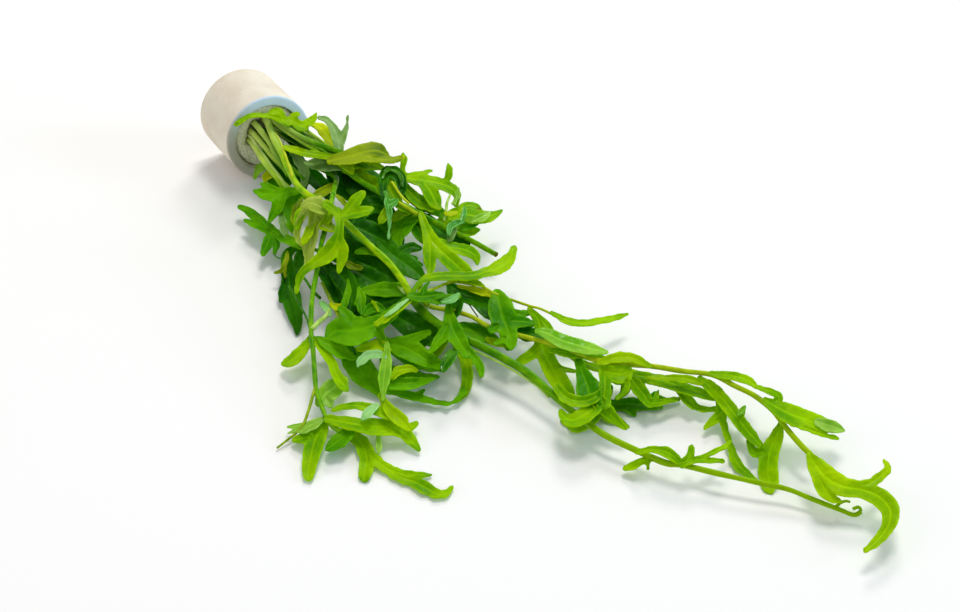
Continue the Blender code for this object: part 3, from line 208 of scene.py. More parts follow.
# Leaves on the frame's nodes: fingers of (pixel x, pixel y, width in pixels)
LEAVES = {
    "leaf_over_ring": dict(tone="bright", fingers=[
        [(288, 124, 5), (280, 119, 7), (270, 116.5, 4.5), (260, 115, 4.5), (250, 116, 4.5),
         (243, 119, 5), (236.5, 123.5, 5)],
        [(284, 121, 6), (281, 114, 8), (276, 111.5, 8), (271, 112, 4)],
        [(287, 120, 6), (294, 121, 8), (300, 126, 9), (306, 128, 5)],
        [(301, 126, 7), (308, 123, 8), (313, 119, 7), (316, 114, 2)],
        [(292, 121, 7), (293, 116, 6), (298, 114, 4)],
    ]),
    "leaf_two_arms": dict(tone="sage", fingers=[
        [(340, 153, 6), (339, 146, 10), (336.5, 135, 11), (332, 126, 8), (326, 120, 6),
         (319.5, 117.5, 4)],
        [(339, 145, 8), (342.5, 137, 8), (346.5, 127, 4), (347.5, 117, 2.5)],
    ]),
    "leaf_yellow": dict(tone="yellow", fingers=[
        [(338, 152, 6), (332, 143, 11), (326, 133, 12), (319, 127, 8), (311, 124, 3)],
    ]),
    "leaf_top": dict(tone="olive", fingers=[
        [(330, 161, 7), (340, 159, 12), (352, 156, 16), (364, 152.5, 18), (376, 151, 17),
         (386, 154, 6)],
        [(366, 156, 11), (380, 159, 8), (391, 160, 7), (400, 158, 5)],
    ]),
    "leaf_top_low": dict(tone="deep", fingers=[
        [(334, 168, 8), (348, 166, 16), (362, 172, 17), (374, 179, 13), (384, 186, 5)],
    ]),
    "leaf_dark_gloss": dict(tone="deep", fingers=[
        [(384, 198, 6), (383, 184, 9), (385, 174, 11), (393, 172, 13), (400, 179, 13), (402, 189, 9),
         (400, 195, 4)],
    ]),
    "leaf_far": dict(tone="bright", fingers=[
        [(387, 194, 4), (392, 183, 5), (400, 177, 6), (412, 179, 9), (426, 181, 12), (441, 184, 12),
         (452, 189, 11), (457, 195, 8), (456, 203, 6)],
        [(424, 183, 12), (430, 191, 15), (434, 199, 15), (438, 207, 7)],
        [(403, 177, 6), (402.5, 168, 5), (403.5, 160, 7), (403, 154, 4)],
        [(404, 176, 5), (418, 174, 5), (434, 170, 2)],
        [(440, 183, 5), (447, 179, 6), (449, 172, 8), (448, 165, 3)],
    ]),
    "leaf_far_low": dict(tone="mid", fingers=[
        [(391, 195, 4), (396, 188, 6), (404, 190, 11), (414, 198, 13), (426, 205, 14), (438, 211, 11),
         (446, 217, 5)],
    ]),
    "leaf_end": dict(tone="bright", fingers=[
        [(440, 221, 6), (450, 216, 10), (462, 214, 15), (474, 216, 15), (486, 217, 12), (494, 215, 8),
         (501, 211, 3)],
        [(458, 212, 10), (467, 206, 8), (476, 207, 7), (481, 210, 4)],
        [(441, 222, 7), (449, 228, 9), (462, 231, 9), (471, 231, 9), (478, 230, 4)],
    ]),
    "leaf_deep_fan": dict(tone="deep", fingers=[
        [(344, 224, 8), (357, 228, 20), (370, 234, 25), (383, 241, 17), (396, 248, 5)],
        [(352, 224, 12), (360, 212, 17), (371, 205, 18), (383, 207, 15), (394, 214, 6)],
    ]),
    "leaf_deep_back": dict(tone="deep", fingers=[
        [(345, 176, 7), (352, 185, 16), (364, 193, 20), (378, 202, 16), (390, 212, 6)],
    ]),
    "leaf_deep_ring": dict(tone="deep", fingers=[
        [(292, 144, 4), (293, 152, 6), (298, 162, 15), (303, 174, 17), (303, 187, 8)],
        [(301, 170, 12), (312, 176, 16), (322, 186, 14), (328, 197, 6)],
    ]),
    "leaf_deep_low": dict(tone="deep", fingers=[
        [(321, 256, 4), (332, 258, 5), (343, 262, 9), (355, 270, 18), (369, 279, 24), (384, 286, 22),
         (396, 290, 14), (404, 292, 6)],
        [(356, 272, 12), (352, 286, 12), (347, 300, 10), (341, 311, 4)],
    ]),
    "leaf_right_drop": dict(tone="bright", fingers=[
        [(425, 236, 6), (436, 243, 11), (448, 247, 12), (460, 249, 11), (470, 252, 12), (476, 257, 9),
         (477, 262, 5)],
    ]),
    "leaf_right_big": dict(tone="bright", fingers=[
        [(421, 214, 6), (425, 226, 9), (431, 239, 13), (441, 251, 15), (453, 262, 17), (464, 272, 16),
         (474, 281, 8)],
        [(429, 236, 12), (430, 248, 14), (430, 260, 13), (430, 272, 6)],
    ]),
    "leaf_by_main": dict(tone="deep", fingers=[
        [(380, 243, 8), (391, 253, 16), (403, 262, 21), (415, 271, 16), (424, 279, 6)],
        [(396, 257, 12), (404, 250, 11), (412, 247, 9), (419, 248, 5)],
    ]),
    "leaf_fork": dict(tone="bright", fingers=[
        [(412, 293, 4), (420, 282, 5), (432, 277, 8), (452, 276, 9), (472, 276, 9), (486, 272, 9),
         (498, 269, 11), (508, 262, 11), (514, 249, 7)],
        [(485, 273, 7), (495, 265, 6), (505, 256, 3)],
    ]),
    "leaf_node_right": dict(tone="mid", fingers=[
        [(410, 296, 7), (422, 297, 10), (436, 298, 11), (448, 299, 10), (459, 296, 5)],
    ]),
    "leaf_node_left": dict(tone="mid", fingers=[
        [(409, 299, 7), (400, 306, 9), (388, 317, 12), (376, 324, 17), (363, 329, 25), (350, 331, 30),
         (337, 331, 22), (327, 338, 5)],
        [(374, 326, 10), (381, 336, 9), (384, 347, 4)],
        [(352, 325, 14), (346, 315, 12), (340, 309, 5)],
    ]),
    "leaf_thin_end": dict(tone="bright", fingers=[
        [(552, 313, 4), (568, 321, 7), (585, 323, 7), (600, 320.5, 6.5), (615, 318, 6), (627, 314, 3)],
    ]),
    "leaf_thin_down": dict(tone="bright", fingers=[
        [(530, 309, 5), (538, 320, 11), (541, 333, 14), (543, 348, 16), (549, 363, 18), (558, 379, 19),
         (567, 392, 15), (572, 400, 5)],
        [(542, 344, 11), (532, 354, 11), (522, 360, 9), (516, 364, 4)],
        [(549, 360, 8), (558, 367, 7), (567, 370, 5), (575, 371, 3)],
        [(536, 317, 6), (545, 324, 9), (554, 336, 6)],
    ]),
    "leaf_centre_fan": dict(tone="mid", fingers=[
        [(500, 297, 6), (504, 308, 12), (506, 321, 16), (507, 335, 15), (508, 347, 7)],
        [(505, 311, 10), (518, 314, 9), (531, 313, 4)],
        [(506, 322, 9), (520, 325, 8), (532, 325, 4)],
        [(503, 305, 10), (490, 303, 11), (477, 299, 10), (467, 295, 4)],
    ]),
    "leaf_centre_strap": dict(tone="mid", fingers=[
        [(453, 326, 6), (464, 329, 14), (476, 332, 17), (488, 337, 13), (499, 342, 8), (509, 346, 3)],
    ]),
    "leaf_centre_long": dict(tone="bright", fingers=[
        [(447, 311, 6), (452, 324, 13), (457, 337, 14), (463, 352, 13), (467, 367, 12), (467, 382, 11),
         (464, 392, 9), (458, 400, 4)],
        [(449, 320, 10), (444, 333, 14), (438, 346, 14), (431, 360, 6)],
        [(464, 355, 10), (474, 360, 8), (480, 368, 7), (481, 376, 3)],
    ]),
    "leaf_long_strap": dict(tone="mid", fingers=[
        [(382, 390, 5), (395, 392, 7), (410, 395.5, 8), (424, 399, 7), (438, 402.5, 5), (450, 403, 4),
         (458, 399, 5), (463, 391, 8)],
        [(414, 397, 6), (420, 393, 5), (424, 390, 3)],
    ]),
    "leaf_shade_wide": dict(tone="mid", fingers=[
        [(384, 341, 8), (396, 347, 17), (411, 354, 23), (427, 361, 20), (443, 368, 7)],
        [(416, 350, 12), (424, 341, 9), (430, 331, 3)],
        [(388, 345, 8), (384, 358, 8), (389, 371, 12), (404, 375, 15), (420, 378, 12), (437, 377, 4)],
    ]),
    "leaf_strip": dict(tone="bright", fingers=[
        [(569, 355, 4), (580, 362, 6), (594, 367, 8), (612, 371, 9), (630, 374, 10), (648, 378, 11),
         (666, 382, 12), (683, 388, 11), (700, 393, 10), (714, 398, 6)],
        [(632, 376, 8), (641, 387, 9), (649, 401, 4)],
    ]),
    "leaf_wet_tip": dict(tone="pale", fingers=[
        [(537, 331, 5), (548, 334, 11), (562, 341, 14), (579, 346, 14), (595, 350, 10), (606, 352, 4)],
    ]),
    "leaf_drop_fork": dict(tone="bright", fingers=[
        [(605, 368, 6), (604, 382, 9), (601, 397, 12), (597, 410, 14), (589, 421, 13), (576, 427, 11),
         (563, 420, 6)],
        [(599, 405, 14), (608, 415, 13), (617, 420, 9), (627, 426, 4)],
        [(605, 372, 9), (615, 376, 15), (626, 380, 13), (624, 392, 8), (616, 398, 3)],
    ]),
    "leaf_tip_down": dict(tone="bright", fingers=[
        [(700, 379, 6), (712, 388, 12), (725, 402, 13), (738, 419, 13), (750, 434, 12), (760, 445, 6)],
        [(735, 415, 8), (741, 413, 7), (744, 408, 4)],
    ]),
    "leaf_tip_pale": dict(tone="bright", fingers=[
        [(717, 393, 5), (721, 408, 9), (724, 425, 7), (730, 445, 7), (738, 465, 10), (756, 481, 4)],
        [(722, 412, 9), (714, 420, 9), (705, 428, 4)],
    ]),
    "leaf_tip_hook": dict(tone="bright", fingers=[
        [(781, 424, 6), (776, 438, 14), (770, 452, 19), (768, 467, 20), (769, 479, 20), (769, 488, 12)],
        [(771, 452, 11), (761, 453, 10), (753, 451, 9), (748, 441, 4)],
    ]),
    "leaf_tip_side": dict(tone="bright", fingers=[
        [(765, 400, 6), (776, 407, 14), (790, 414, 20), (806, 420, 20), (821, 424.5, 16),
         (834, 427, 11), (843, 430, 4)],
        [(772, 404, 7), (779, 399, 8), (776, 394, 7), (767, 390, 6), (757, 387, 4)],
        [(802, 425, 8), (816, 432, 5), (832, 437, 4), (848, 441, 2)],
    ]),
    "leaf_tip_end": dict(tone="lime", fingers=[
        [(810, 456, 8), (817, 467, 18), (828, 479, 24), (845, 487, 19), (862, 490, 17), (879, 497, 19),
         (890, 510, 19), (888, 526, 14), (877, 541, 10), (866, 550, 5)],
        [(858, 488, 12), (871, 483, 10), (882, 475, 9), (888, 468, 7), (884, 461, 4)],
        [(820, 477, 16), (824, 489, 15), (832, 498, 9), (840, 501, 4)],
    ]),
    "leaf_front_left": dict(tone="mid", fingers=[
        [(300, 190, 6), (290, 192, 9), (278, 194, 13), (266, 194, 12), (255, 191, 4)],
        [(281, 196, 12), (277, 208, 11), (270, 220, 5)],
        [(276, 191, 8), (268, 187, 7), (262, 184, 3)],
    ]),
    "leaf_left_fan": dict(tone="mid", fingers=[
        [(317, 250, 3.5), (304, 246, 4.5), (294, 241, 6), (282, 236, 7), (270, 229, 10), (258, 219, 10),
         (248, 211, 8), (240, 207, 4)],
        [(270, 230, 9), (257, 225, 8), (246, 221, 4)],
        [(272, 232, 10), (268, 243, 11), (263, 253, 6)],
        [(273, 233, 8), (276, 243, 8), (275, 252, 4)],
    ]),
    "leaf_left_dark": dict(tone="deep", fingers=[
        [(316, 262, 3.5), (306, 252, 4), (297, 248, 5), (288, 254, 10), (287, 266, 13), (289, 280, 15),
         (291, 296, 19), (295, 313, 16), (297, 326, 9), (297, 334, 3)],
        [(288, 280, 10), (283, 291, 9), (281, 300, 4)],
    ]),
    "leaf_flap": dict(tone="lemon", fingers=[
        [(319, 199, 7), (317, 206, 15), (315, 218, 13), (312, 234, 12), (309, 250, 11), (308, 266, 6)],
        [(313, 204, 10), (305, 211, 8), (299, 223, 7), (297, 236, 6), (304, 248, 3)],
        [(317, 214, 10), (325, 222, 11), (335, 229, 5)],
    ]),
    "leaf_main_node": dict(tone="bright", fingers=[
        [(339, 210, 5), (339.5, 216, 9), (339.5, 226, 8), (338, 236, 11), (334, 247, 17),
         (325, 256, 15), (313, 264, 10), (302, 273, 8), (298, 283, 6), (296, 293, 3)],
        [(338, 240, 12), (342, 251, 13), (341, 262, 9), (339, 271, 4)],
        [(337, 214, 6), (330, 207, 9), (324, 204, 5)],
        [(340, 218, 6), (348, 210, 10), (355, 201, 12), (362, 194, 7)],
        [(342, 217, 7), (355, 213, 10), (364, 211, 10), (371, 209, 5)],
    ]),
    "leaf_front_small": dict(tone="bright", fingers=[
        [(311, 337, 5), (304, 348, 10), (296, 357, 13), (289, 362, 10), (283, 364, 5)],
    ]),
    "leaf_front_shade": dict(tone="mid", fingers=[
        [(314, 338, 4), (332, 342, 7), (346, 352, 16), (355, 362, 25), (363, 372, 26), (373, 382, 20),
         (382, 394, 7)],
    ]),
    "leaf_front_end": dict(tone="bright", fingers=[
        [(326, 419, 7), (319, 431, 18), (314, 444, 19), (311, 457, 17), (309, 468, 14),
         (308.5, 476, 10)],
        [(315, 437, 12), (304, 438, 11), (295, 440, 6)],
    ]),
    "leaf_front_right": dict(tone="bright", fingers=[
        [(328, 419, 8), (343, 422, 12), (359, 425, 14), (376, 427, 17), (392, 428, 15), (403, 432, 13),
         (411, 440, 11), (419, 450, 4)],
        [(403, 430, 10), (411, 427, 8), (417, 423, 4)],
    ]),
    "leaf_front_fork": dict(tone="bright", fingers=[
        [(328, 422, 4), (338, 430, 6), (351, 434, 11), (362, 444, 15), (367, 457, 16), (366, 468, 14),
         (364.5, 476, 12)],
        [(366, 451, 12), (378, 462, 11), (390, 470, 10), (403, 474, 9), (417, 475, 7), (430, 475, 3)],
        [(392, 473, 10), (402, 478, 10), (414, 482, 11), (426, 488, 13), (438, 494, 9), (446, 493, 7),
         (451, 488, 4)],
    ]),
    "leaf_front_arc": dict(tone="bright", fingers=[
        [(333, 410, 4), (342, 407, 6), (354, 405.5, 7), (366, 407, 9), (378, 411, 10), (389, 416, 8),
         (399, 423, 4)],
        [(386, 411, 9), (383, 402, 6), (380, 394, 4)],
    ]),
}

# Stalks too thin for the frame: (pixel x, pixel y, height over the table), with end diameters
THIN_STALKS = {
    "stalk_mouth_left": dict(tone="stem_pale", root=(251, 137), size=(1.4, 1.2), route=[
        (259, 149, 15.6), (269, 163, 14.4), (279, 176, 13.4), (288, 189, 12.6),
    ]),
    "stalk_mouth_low": dict(tone="stem_mid", root=(254, 146), size=(1.2, 1), route=[
        (262, 158, 11.6), (270, 170, 10.8), (279, 183, 10.2), (287, 196, 9.6),
    ]),
    "stalk_mouth_middle": dict(root=(258, 129), size=(1.5, 1.2), route=[
        (270, 144, 17.6), (281, 157, 16.6), (292, 168, 15.6), (304, 179, 14.6),
    ]),
    "stalk_mouth_thin": dict(tone="stem_yellow", root=(266, 124), size=(1.1, 0.9), route=[
        (278, 138, 22.4), (284, 152, 22), (289, 166, 21.6), (293, 177, 21.2),
    ]),
    "stalk_mouth_upper": dict(tone="stem_mid", root=(272, 121), size=(1.4, 1.2), route=[
        (286, 132, 21.6), (300, 141, 21.4), (316, 151, 21.2), (330, 160, 20.8),
    ]),
    "stalk_mouth_right": dict(tone="stem_shaded", root=(281, 120), size=(1.3, 1.1), route=[
        (295, 130, 20.8), (311, 140, 20.4), (327, 148, 20), (341, 156, 19.6),
    ]),
    "stalk_mouth_back": dict(tone="stem_mid", root=(287, 119), size=(1.3, 1.1), route=[
        (301, 127, 21.6), (316, 137, 21.4), (329, 147, 21.2), (340, 155, 21),
    ]),
    # A thin pale tube along the long stem's underside, a painted bluish rim light
    "stalk_long_rim": dict(tone="stem_pale", size=(0.7, 0.9), route=[
        (466, 347.5, 9.4), (481, 353.5, 9), (500, 363, 8.6), (520, 374.5, 8.2), (538, 386.5, 7.6),
        (549, 397, 7),
    ]),
    "stalk_yellow_upper": dict(tone="stem_yellow", size=(0.8, 0.9), route=[
        (392, 182, 21.8), (397, 190, 21.4), (403, 198, 20.6), (409, 203.5, 19.6),
    ]),
    "stalk_yellow_lower": dict(tone="stem_yellow", size=(1.2, 1.5), route=[
        (398, 202.5, 20.4), (405, 206.5, 19.8), (411, 210.5, 18.8), (417, 214, 17.8),
    ]),
    "stalk_table_left": dict(tone="stem_shaded", size=(0.5, 0.6), route=[
        (273, 253, 4), (276, 256.5, 4.4), (280, 258.5, 5), (284, 258, 5.6),
    ]),
    "stalk_left_of_front": dict(tone="stem_shaded", size=(0.9, 0.6), route=[
        (289, 286, 6), (297, 300, 6.2), (306, 317, 7.4), (309, 327, 9),
    ]),
    "stalk_behind_front": dict(tone="stem_shaded", size=(0.8, 1.1), route=[
        (301, 274, 9.6), (307, 282, 9), (313, 291, 8.6), (320, 298, 8.4),
    ]),
    "stalk_olive": dict(tone="stem_olive", size=(1, 1.2), route=[
        (322, 283, 9.6), (329, 297, 9.8), (335, 309, 10.2), (342, 322, 10.6),
    ]),
    "stalk_mint": dict(tone="stem_pale", size=(1.2, 1.6), route=[
        (329, 309, 10), (326, 316, 10.2), (319, 322, 10.4), (312, 329, 10.4),
    ]),
    "stalk_front_left": dict(tone="stem_olive", size=(1, 0.7), route=[
        (315, 388, 6.6), (311, 402, 5.4), (307, 415, 4.4), (303, 425, 3.4), (296, 433, 2.4),
        (286, 441, 1.4), (277, 448, 0.8),
    ]),
    "stalk_fork_down": dict(tone="stem_mid", size=(1.3, 1), route=[
        (421, 281, 16.6), (420, 288, 16.4), (418, 296, 16.2),
    ]),
    "stalk_gap_strand": dict(tone="stem_pale", size=(0.8, 0.6), route=[
        (429, 300, 14.6), (428.5, 305, 13.6), (426.5, 311, 12.4),
    ]),
    "stalk_mint_right": dict(tone="stem_pale", size=(0.9, 0.8), route=[
        (450, 195, 17.4), (447, 203, 17), (446, 212, 16.2), (444, 221, 15.2),
    ]),
    "stalk_white_thread": dict(tone="stem_pale", size=(0.35, 0.35), route=[
        (432, 243, 16.6), (435, 246, 16.4), (438, 250, 16),
    ]),
    "stalk_white_hook": dict(tone="stem_pale", size=(0.4, 0.3), route=[
        (442, 250, 16), (445, 252.5, 15.8), (444.5, 256, 15.4), (446, 258, 15.2),
    ]),
    "stalk_gap_dark": dict(tone="stem_shaded", size=(0.5, 0.4), route=[
        (469, 304, 10), (473, 310, 9.2), (478, 317, 8.6),
    ]),
    "stalk_gap_front": dict(tone="stem_shaded", size=(0.5, 0.6), route=[
        (350, 343, 9.4), (353, 349, 8.6), (356, 356, 7.8),
    ]),
    "stalk_strip_down": dict(tone="stem_mid", size=(0.9, 0.7), route=[
        (632, 375, 6.8), (631, 382, 6), (628, 390, 5),
    ]),
    "stalk_tip_curl": dict(tone="stem_mid", size=(1, 0.7), route=[
        (836, 507, 2.4), (840, 503, 3.2), (846, 501, 3.8), (850, 502, 3.6),
    ]),
    "stalk_end_curl": dict(tone="stem_mid", size=(1, 0.9), route=[
        (848, 514, 1.6), (856, 514, 2), (861, 510, 2.8), (858, 507, 3.4), (853, 509, 3),
    ]),
}

# Leaves too small or too hidden for the frame: (pixel x, pixel y, height over the table, width)
SMALL_LEAVES = {
    "leaf_pale_end": dict(tone="lime", fold=0.5, fingers=[
        [(330, 156, 21.2, 6), (318, 155, 21.6, 7), (305, 153, 22, 7), (294, 150, 22.2, 7),
         (286, 147, 22.2, 5)],
    ]),
    "leaf_under_thin": dict(tone="yellow", lean=0.1, fingers=[
        [(458, 286, 12.6, 3), (467, 288, 12.4, 4), (476, 290, 12.2, 7), (486, 293.5, 12, 6),
         (495, 297, 11.6, 3)],
    ]),
    "leaf_over_thin": dict(tone="lime", lean=0.1, fingers=[
        [(458, 278, 14.6, 4), (467, 279.5, 14.6, 6), (476, 282.5, 14.2, 6), (483, 285.5, 13.8, 3)],
    ]),
    "leaf_hump": dict(tone="lime", lean=0.1, fingers=[
        [(599, 363, 11.6, 5), (610, 359, 12.2, 9), (622, 357, 12.4, 10), (636, 359, 12, 9),
         (650, 366, 11.2, 4)],
    ]),
    "leaf_drop_body": dict(tone="mid", fold=0.3, fingers=[
        [(579, 362, 9.6, 8), (582, 372, 9.4, 12), (586, 382, 9.2, 19), (589, 391, 9, 25),
         (591, 400, 8.8, 22)],
    ]),
    "leaf_drop_sweep": dict(tone="bright", fingers=[
        [(556, 386, 9.8, 7), (563, 395, 9.8, 11), (573, 400.5, 9.8, 12), (586, 401, 9.8, 11),
         (597, 396, 9.8, 9), (604, 388, 9.8, 4)],
    ]),
    "leaf_drop_left": dict(tone="bright", fold=0.3, fingers=[
        [(597, 406, 9.4, 12), (586, 414, 9, 16), (575, 420, 8.6, 14), (566, 418.5, 8.2, 11),
         (561, 412, 8, 6)],
    ]),
    "leaf_drop_right": dict(tone="bright", fold=0.3, fingers=[
        [(599, 402, 9, 15), (606, 410, 8.4, 14), (613, 417, 7.4, 11), (619, 423, 6.4, 8),
         (625, 428, 5.6, 4)],
    ]),
    "leaf_drop_block": dict(tone="bright", fold=0.3, fingers=[
        [(604, 366, 10.4, 10), (605, 378, 10.2, 12), (605, 390, 10, 13), (603, 402, 9.6, 16)],
        [(606, 372, 10.2, 12), (616, 374, 10.2, 17), (624, 374, 10, 17), (628, 370, 10, 8)],
        [(626, 378, 9.8, 6), (627, 386, 9.4, 6), (623, 393, 8.8, 5), (617, 398, 8.2, 3)],
    ]),
    "leaf_drop_far": dict(tone="bright", fold=0.3, fingers=[
        [(631, 378, 7.8, 8), (637, 386, 7.2, 13), (644, 395, 6.2, 13), (650, 403, 5.4, 8),
         (662, 402, 4.8, 6), (673, 400, 4.4, 5), (678, 399, 4.2, 3)],
        [(651, 404, 5.2, 6), (656, 398, 5.4, 5), (658, 392, 5.6, 3)],
    ]),
    "leaf_table_strip": dict(tone="mid", lean=0.04, fold=0.2, fingers=[
        [(600, 404, 1, 5), (615, 405, 0.6, 11), (629, 404, 0.6, 13), (644, 405, 0.6, 11),
         (661, 407, 0.8, 4)],
        [(606, 402, 1.2, 6), (609, 394, 2, 6), (611, 387, 2.6, 4)],
        [(628, 408, 0.6, 8), (634, 414, 0.6, 5)],
        [(640, 403, 0.8, 9), (653, 398, 1.2, 7), (666, 400, 1, 6), (679, 399, 0.8, 4)],
        [(650, 399, 1.2, 6), (655, 393, 2, 4)],
    ]),
    "leaf_strip_droop": dict(tone="bright", fold=0.3, fingers=[
        [(678, 388, 5.8, 6), (684, 395, 4.8, 10), (690, 402, 3.8, 10), (697, 408, 2.8, 5)],
        [(690, 404, 3.6, 6), (703, 409, 2.6, 6), (717, 409, 2.4, 5)],
    ]),
    "leaf_long_arch": dict(tone="bright", fingers=[
        [(637, 452, 6.4, 5), (648, 449.5, 7.4, 6), (660, 450, 7.6, 8), (670, 454, 7, 10),
         (681, 463, 6.2, 6)],
    ]),
    "leaf_front_branch": dict(tone="bright", lean=-0.08, fingers=[
        [(314, 339, 9.2, 6), (323, 349, 8.8, 9), (331, 361, 8.2, 9), (336, 373, 7.6, 10),
         (342, 383, 7, 11), (347, 389, 6.4, 5)],
    ]),
    "leaf_front_clear": dict(tone="clear", lean=0.06, fold=0.3, fingers=[
        [(318, 404, 4, 6), (325, 395, 4.2, 17), (334, 388, 4.6, 19), (345, 380, 5, 8)],
        [(326, 398, 4.2, 12), (330, 404, 4, 7)],
    ]),
    "leaf_long_tuft": dict(tone="bright", fingers=[
        [(682, 465, 6.4, 6), (689, 457, 7.4, 8), (691.5, 448, 8.4, 6)],
        [(683, 462, 6.6, 7), (697, 459.5, 6.6, 7), (708, 460, 6.2, 6), (722, 461, 5.6, 4)],
        [(700, 459, 6.4, 5), (711, 453, 6.8, 5), (722, 448, 6.4, 5), (730, 442, 6, 3)],
    ]),
    "leaf_long_low": dict(tone="bright", fold=0.3, fingers=[
        [(652, 459, 4.6, 5), (642, 461, 3.8, 7), (634, 465, 2.8, 8), (626, 468, 2, 6)],
        [(648, 460, 4.2, 5), (648, 468, 3, 3)],
    ]),
    "leaf_base_pale": dict(tone="pale", fold=0.3, fingers=[
        [(265, 165, 7.4, 6), (260, 168, 6.4, 9), (257, 172, 5.4, 6), (255, 177, 4.4, 3)],
    ]),
    "leaf_base_yellow": dict(tone="yellow", fold=0.3, fingers=[
        [(275, 172, 10, 4), (270, 174, 9.4, 8), (266, 177, 8.6, 7), (265, 182, 7.8, 4)],
    ]),
    "leaf_base_dark": dict(tone="deep", fingers=[
        [(268, 158, 10, 6), (275, 166, 9, 12), (282, 174, 8, 14), (288, 182, 7.2, 8)],
    ]),
    "leaf_base_low": dict(tone="mid", fingers=[
        [(268, 173, 8, 6), (273, 180, 7.4, 12), (281, 186, 7, 10), (289, 190, 6.6, 5)],
    ]),
    "leaf_ring_grey": dict(tone="sage", lean=0.06, fold=0.5, fingers=[
        [(291, 150, 15.2, 4), (297, 158, 14, 9), (303, 167, 12.6, 11), (304.5, 177, 11, 9),
         (303, 186, 9.6, 5)],
    ]),
    "leaf_between_stems": dict(tone="deep", fingers=[
        [(284, 136, 17.4, 5), (298, 144, 16.6, 11), (312, 149, 15.6, 12), (326, 154, 15, 10),
         (338, 160, 14.4, 6)],
    ]),
    "leaf_sage_wide": dict(tone="sage", fold=0.5, fingers=[
        [(305, 163, 16.4, 3), (313, 164, 17, 10), (325, 162.5, 18, 17), (340, 161, 18.8, 18),
         (353, 161, 19, 9)],
    ]),
    "leaf_olive_small": dict(tone="olive", fold=0.5, fingers=[
        [(311, 197, 15, 4), (318, 194, 15, 8), (326, 190, 15, 9), (333, 185, 15, 4)],
    ]),
    "leaf_top_speckled": dict(tone="olive", fingers=[
        [(364, 149, 24.2, 7), (371, 146.5, 24.4, 9), (378, 147, 24.2, 8), (383, 150, 24, 4)],
    ]),
    "leaf_top_arm": dict(tone="yellow", fold=0.3, fingers=[
        [(380, 156, 23.6, 6), (388, 159.5, 23.4, 6), (396, 160, 23.2, 5), (403, 157, 23.2, 4)],
    ]),
    "leaf_mouth_dark": dict(tone="deep", fingers=[
        [(262, 131, 19.6, 8), (268, 142, 16.2, 16), (276, 152, 13.8, 20), (285, 161, 12.4, 18),
         (294, 171, 11, 10)],
    ]),
    "leaf_mouth_right": dict(tone="deep", fingers=[
        [(276, 124, 20, 8), (288, 131, 18.6, 14), (300, 138, 17.8, 14), (313, 146, 17.2, 8)],
    ]),
    "leaf_under_top": dict(tone="bright", fold=0.5, fingers=[
        [(330, 158, 20.6, 8), (344, 161, 20.6, 13), (358, 162, 20.4, 13), (372, 165, 19.8, 10),
         (382, 168, 19.2, 5)],
    ]),
    "leaf_ribbon": dict(tone="bright", fingers=[
        [(338, 164, 18.6, 6), (350, 169, 18.8, 12), (362, 175.5, 18.6, 11), (373, 182, 18.2, 11),
         (385, 190, 17.6, 6)],
    ]),
    "leaf_ribbon_knot": dict(tone="lime", fingers=[
        [(338, 160, 21.4, 4), (345, 164, 21.8, 9), (350, 169, 21.6, 8), (352, 173, 21.2, 4)],
    ]),
    "leaf_behind_stem": dict(tone="deep", fingers=[
        [(329, 168, 12.6, 9), (338, 180, 12, 20), (350, 190, 11.4, 22), (364, 198, 10.8, 14),
         (376, 206, 10.2, 6)],
    ]),
    "leaf_brown_small": dict(tone="olive", fingers=[
        [(337, 196, 24.4, 3), (342, 200.5, 24.4, 5), (347, 206, 24, 4)],
    ]),
    "leaf_gloss_body": dict(tone="bright", fold=0.5, fingers=[
        [(387, 174, 20.6, 6), (388, 184, 20.4, 15), (393, 195, 19.8, 14), (400, 205, 19, 8),
         (408, 212, 18, 4)],
    ]),
    "leaf_gloss_edge": dict(tone="gloss", lean=0.1, fold=0.5, fingers=[
        [(383, 178, 22.2, 2), (385, 172, 22.8, 3), (389, 168.5, 23, 4)],
        [(392, 170, 22.6, 3), (398, 173, 22.4, 4), (401.5, 179, 22, 4), (402.5, 185, 21.2, 3)],
    ]),
    "leaf_right_of_gloss": dict(tone="bright", lean=-0.05, fingers=[
        [(404, 182, 17.6, 4), (408, 190, 17, 9), (415, 198, 16.4, 12), (423, 204, 15.6, 11),
         (432, 209, 14.8, 5)],
    ]),
    "leaf_mid_lobe": dict(tone="lime", fingers=[
        [(388, 206, 19.4, 4), (385, 213, 18.6, 8), (382, 219, 17.8, 8), (379.5, 223, 17.2, 3)],
    ]),
    "leaf_blue_strip": dict(tone="wet", lean=0.1, fingers=[
        [(385, 192, 22, 2.5), (387, 201, 21.4, 5), (389, 211, 20.4, 6), (389.5, 222, 19, 3.5),
         (388.5, 238, 17, 2.5)],
        [(388, 206, 20.8, 5), (393, 203, 21, 8), (396, 201, 20.8, 4)],
    ]),
    "leaf_dark_under_stem": dict(tone="deep", fold=0.5, fingers=[
        [(398, 205, 14, 6), (412, 213, 13, 12), (426, 222, 12, 16), (440, 231, 11, 15),
         (454, 239, 10.2, 10), (468, 244, 9.4, 5)],
    ]),
    "leaf_centre_dark": dict(tone="deep", fold=0.5, fingers=[
        [(350, 210, 11.6, 8), (364, 219, 11.2, 26), (381, 228, 10.6, 32), (393, 238, 10, 22),
         (401, 247, 9.4, 6)],
    ]),
    "leaf_centre_mid": dict(tone="mid", fold=0.5, fingers=[
        [(421, 213, 14.6, 6), (412, 217, 14.2, 14), (403, 225, 13.4, 19), (398, 235, 12.4, 14),
         (398, 245, 11.4, 5)],
    ]),
    "leaf_centre_upper": dict(tone="mid", fold=0.5, fingers=[
        [(420, 214, 13.6, 6), (418, 223, 13, 14), (420, 233, 12.4, 13), (426, 243, 11.8, 6)],
    ]),
    "leaf_centre_lobe": dict(tone="bright", fingers=[
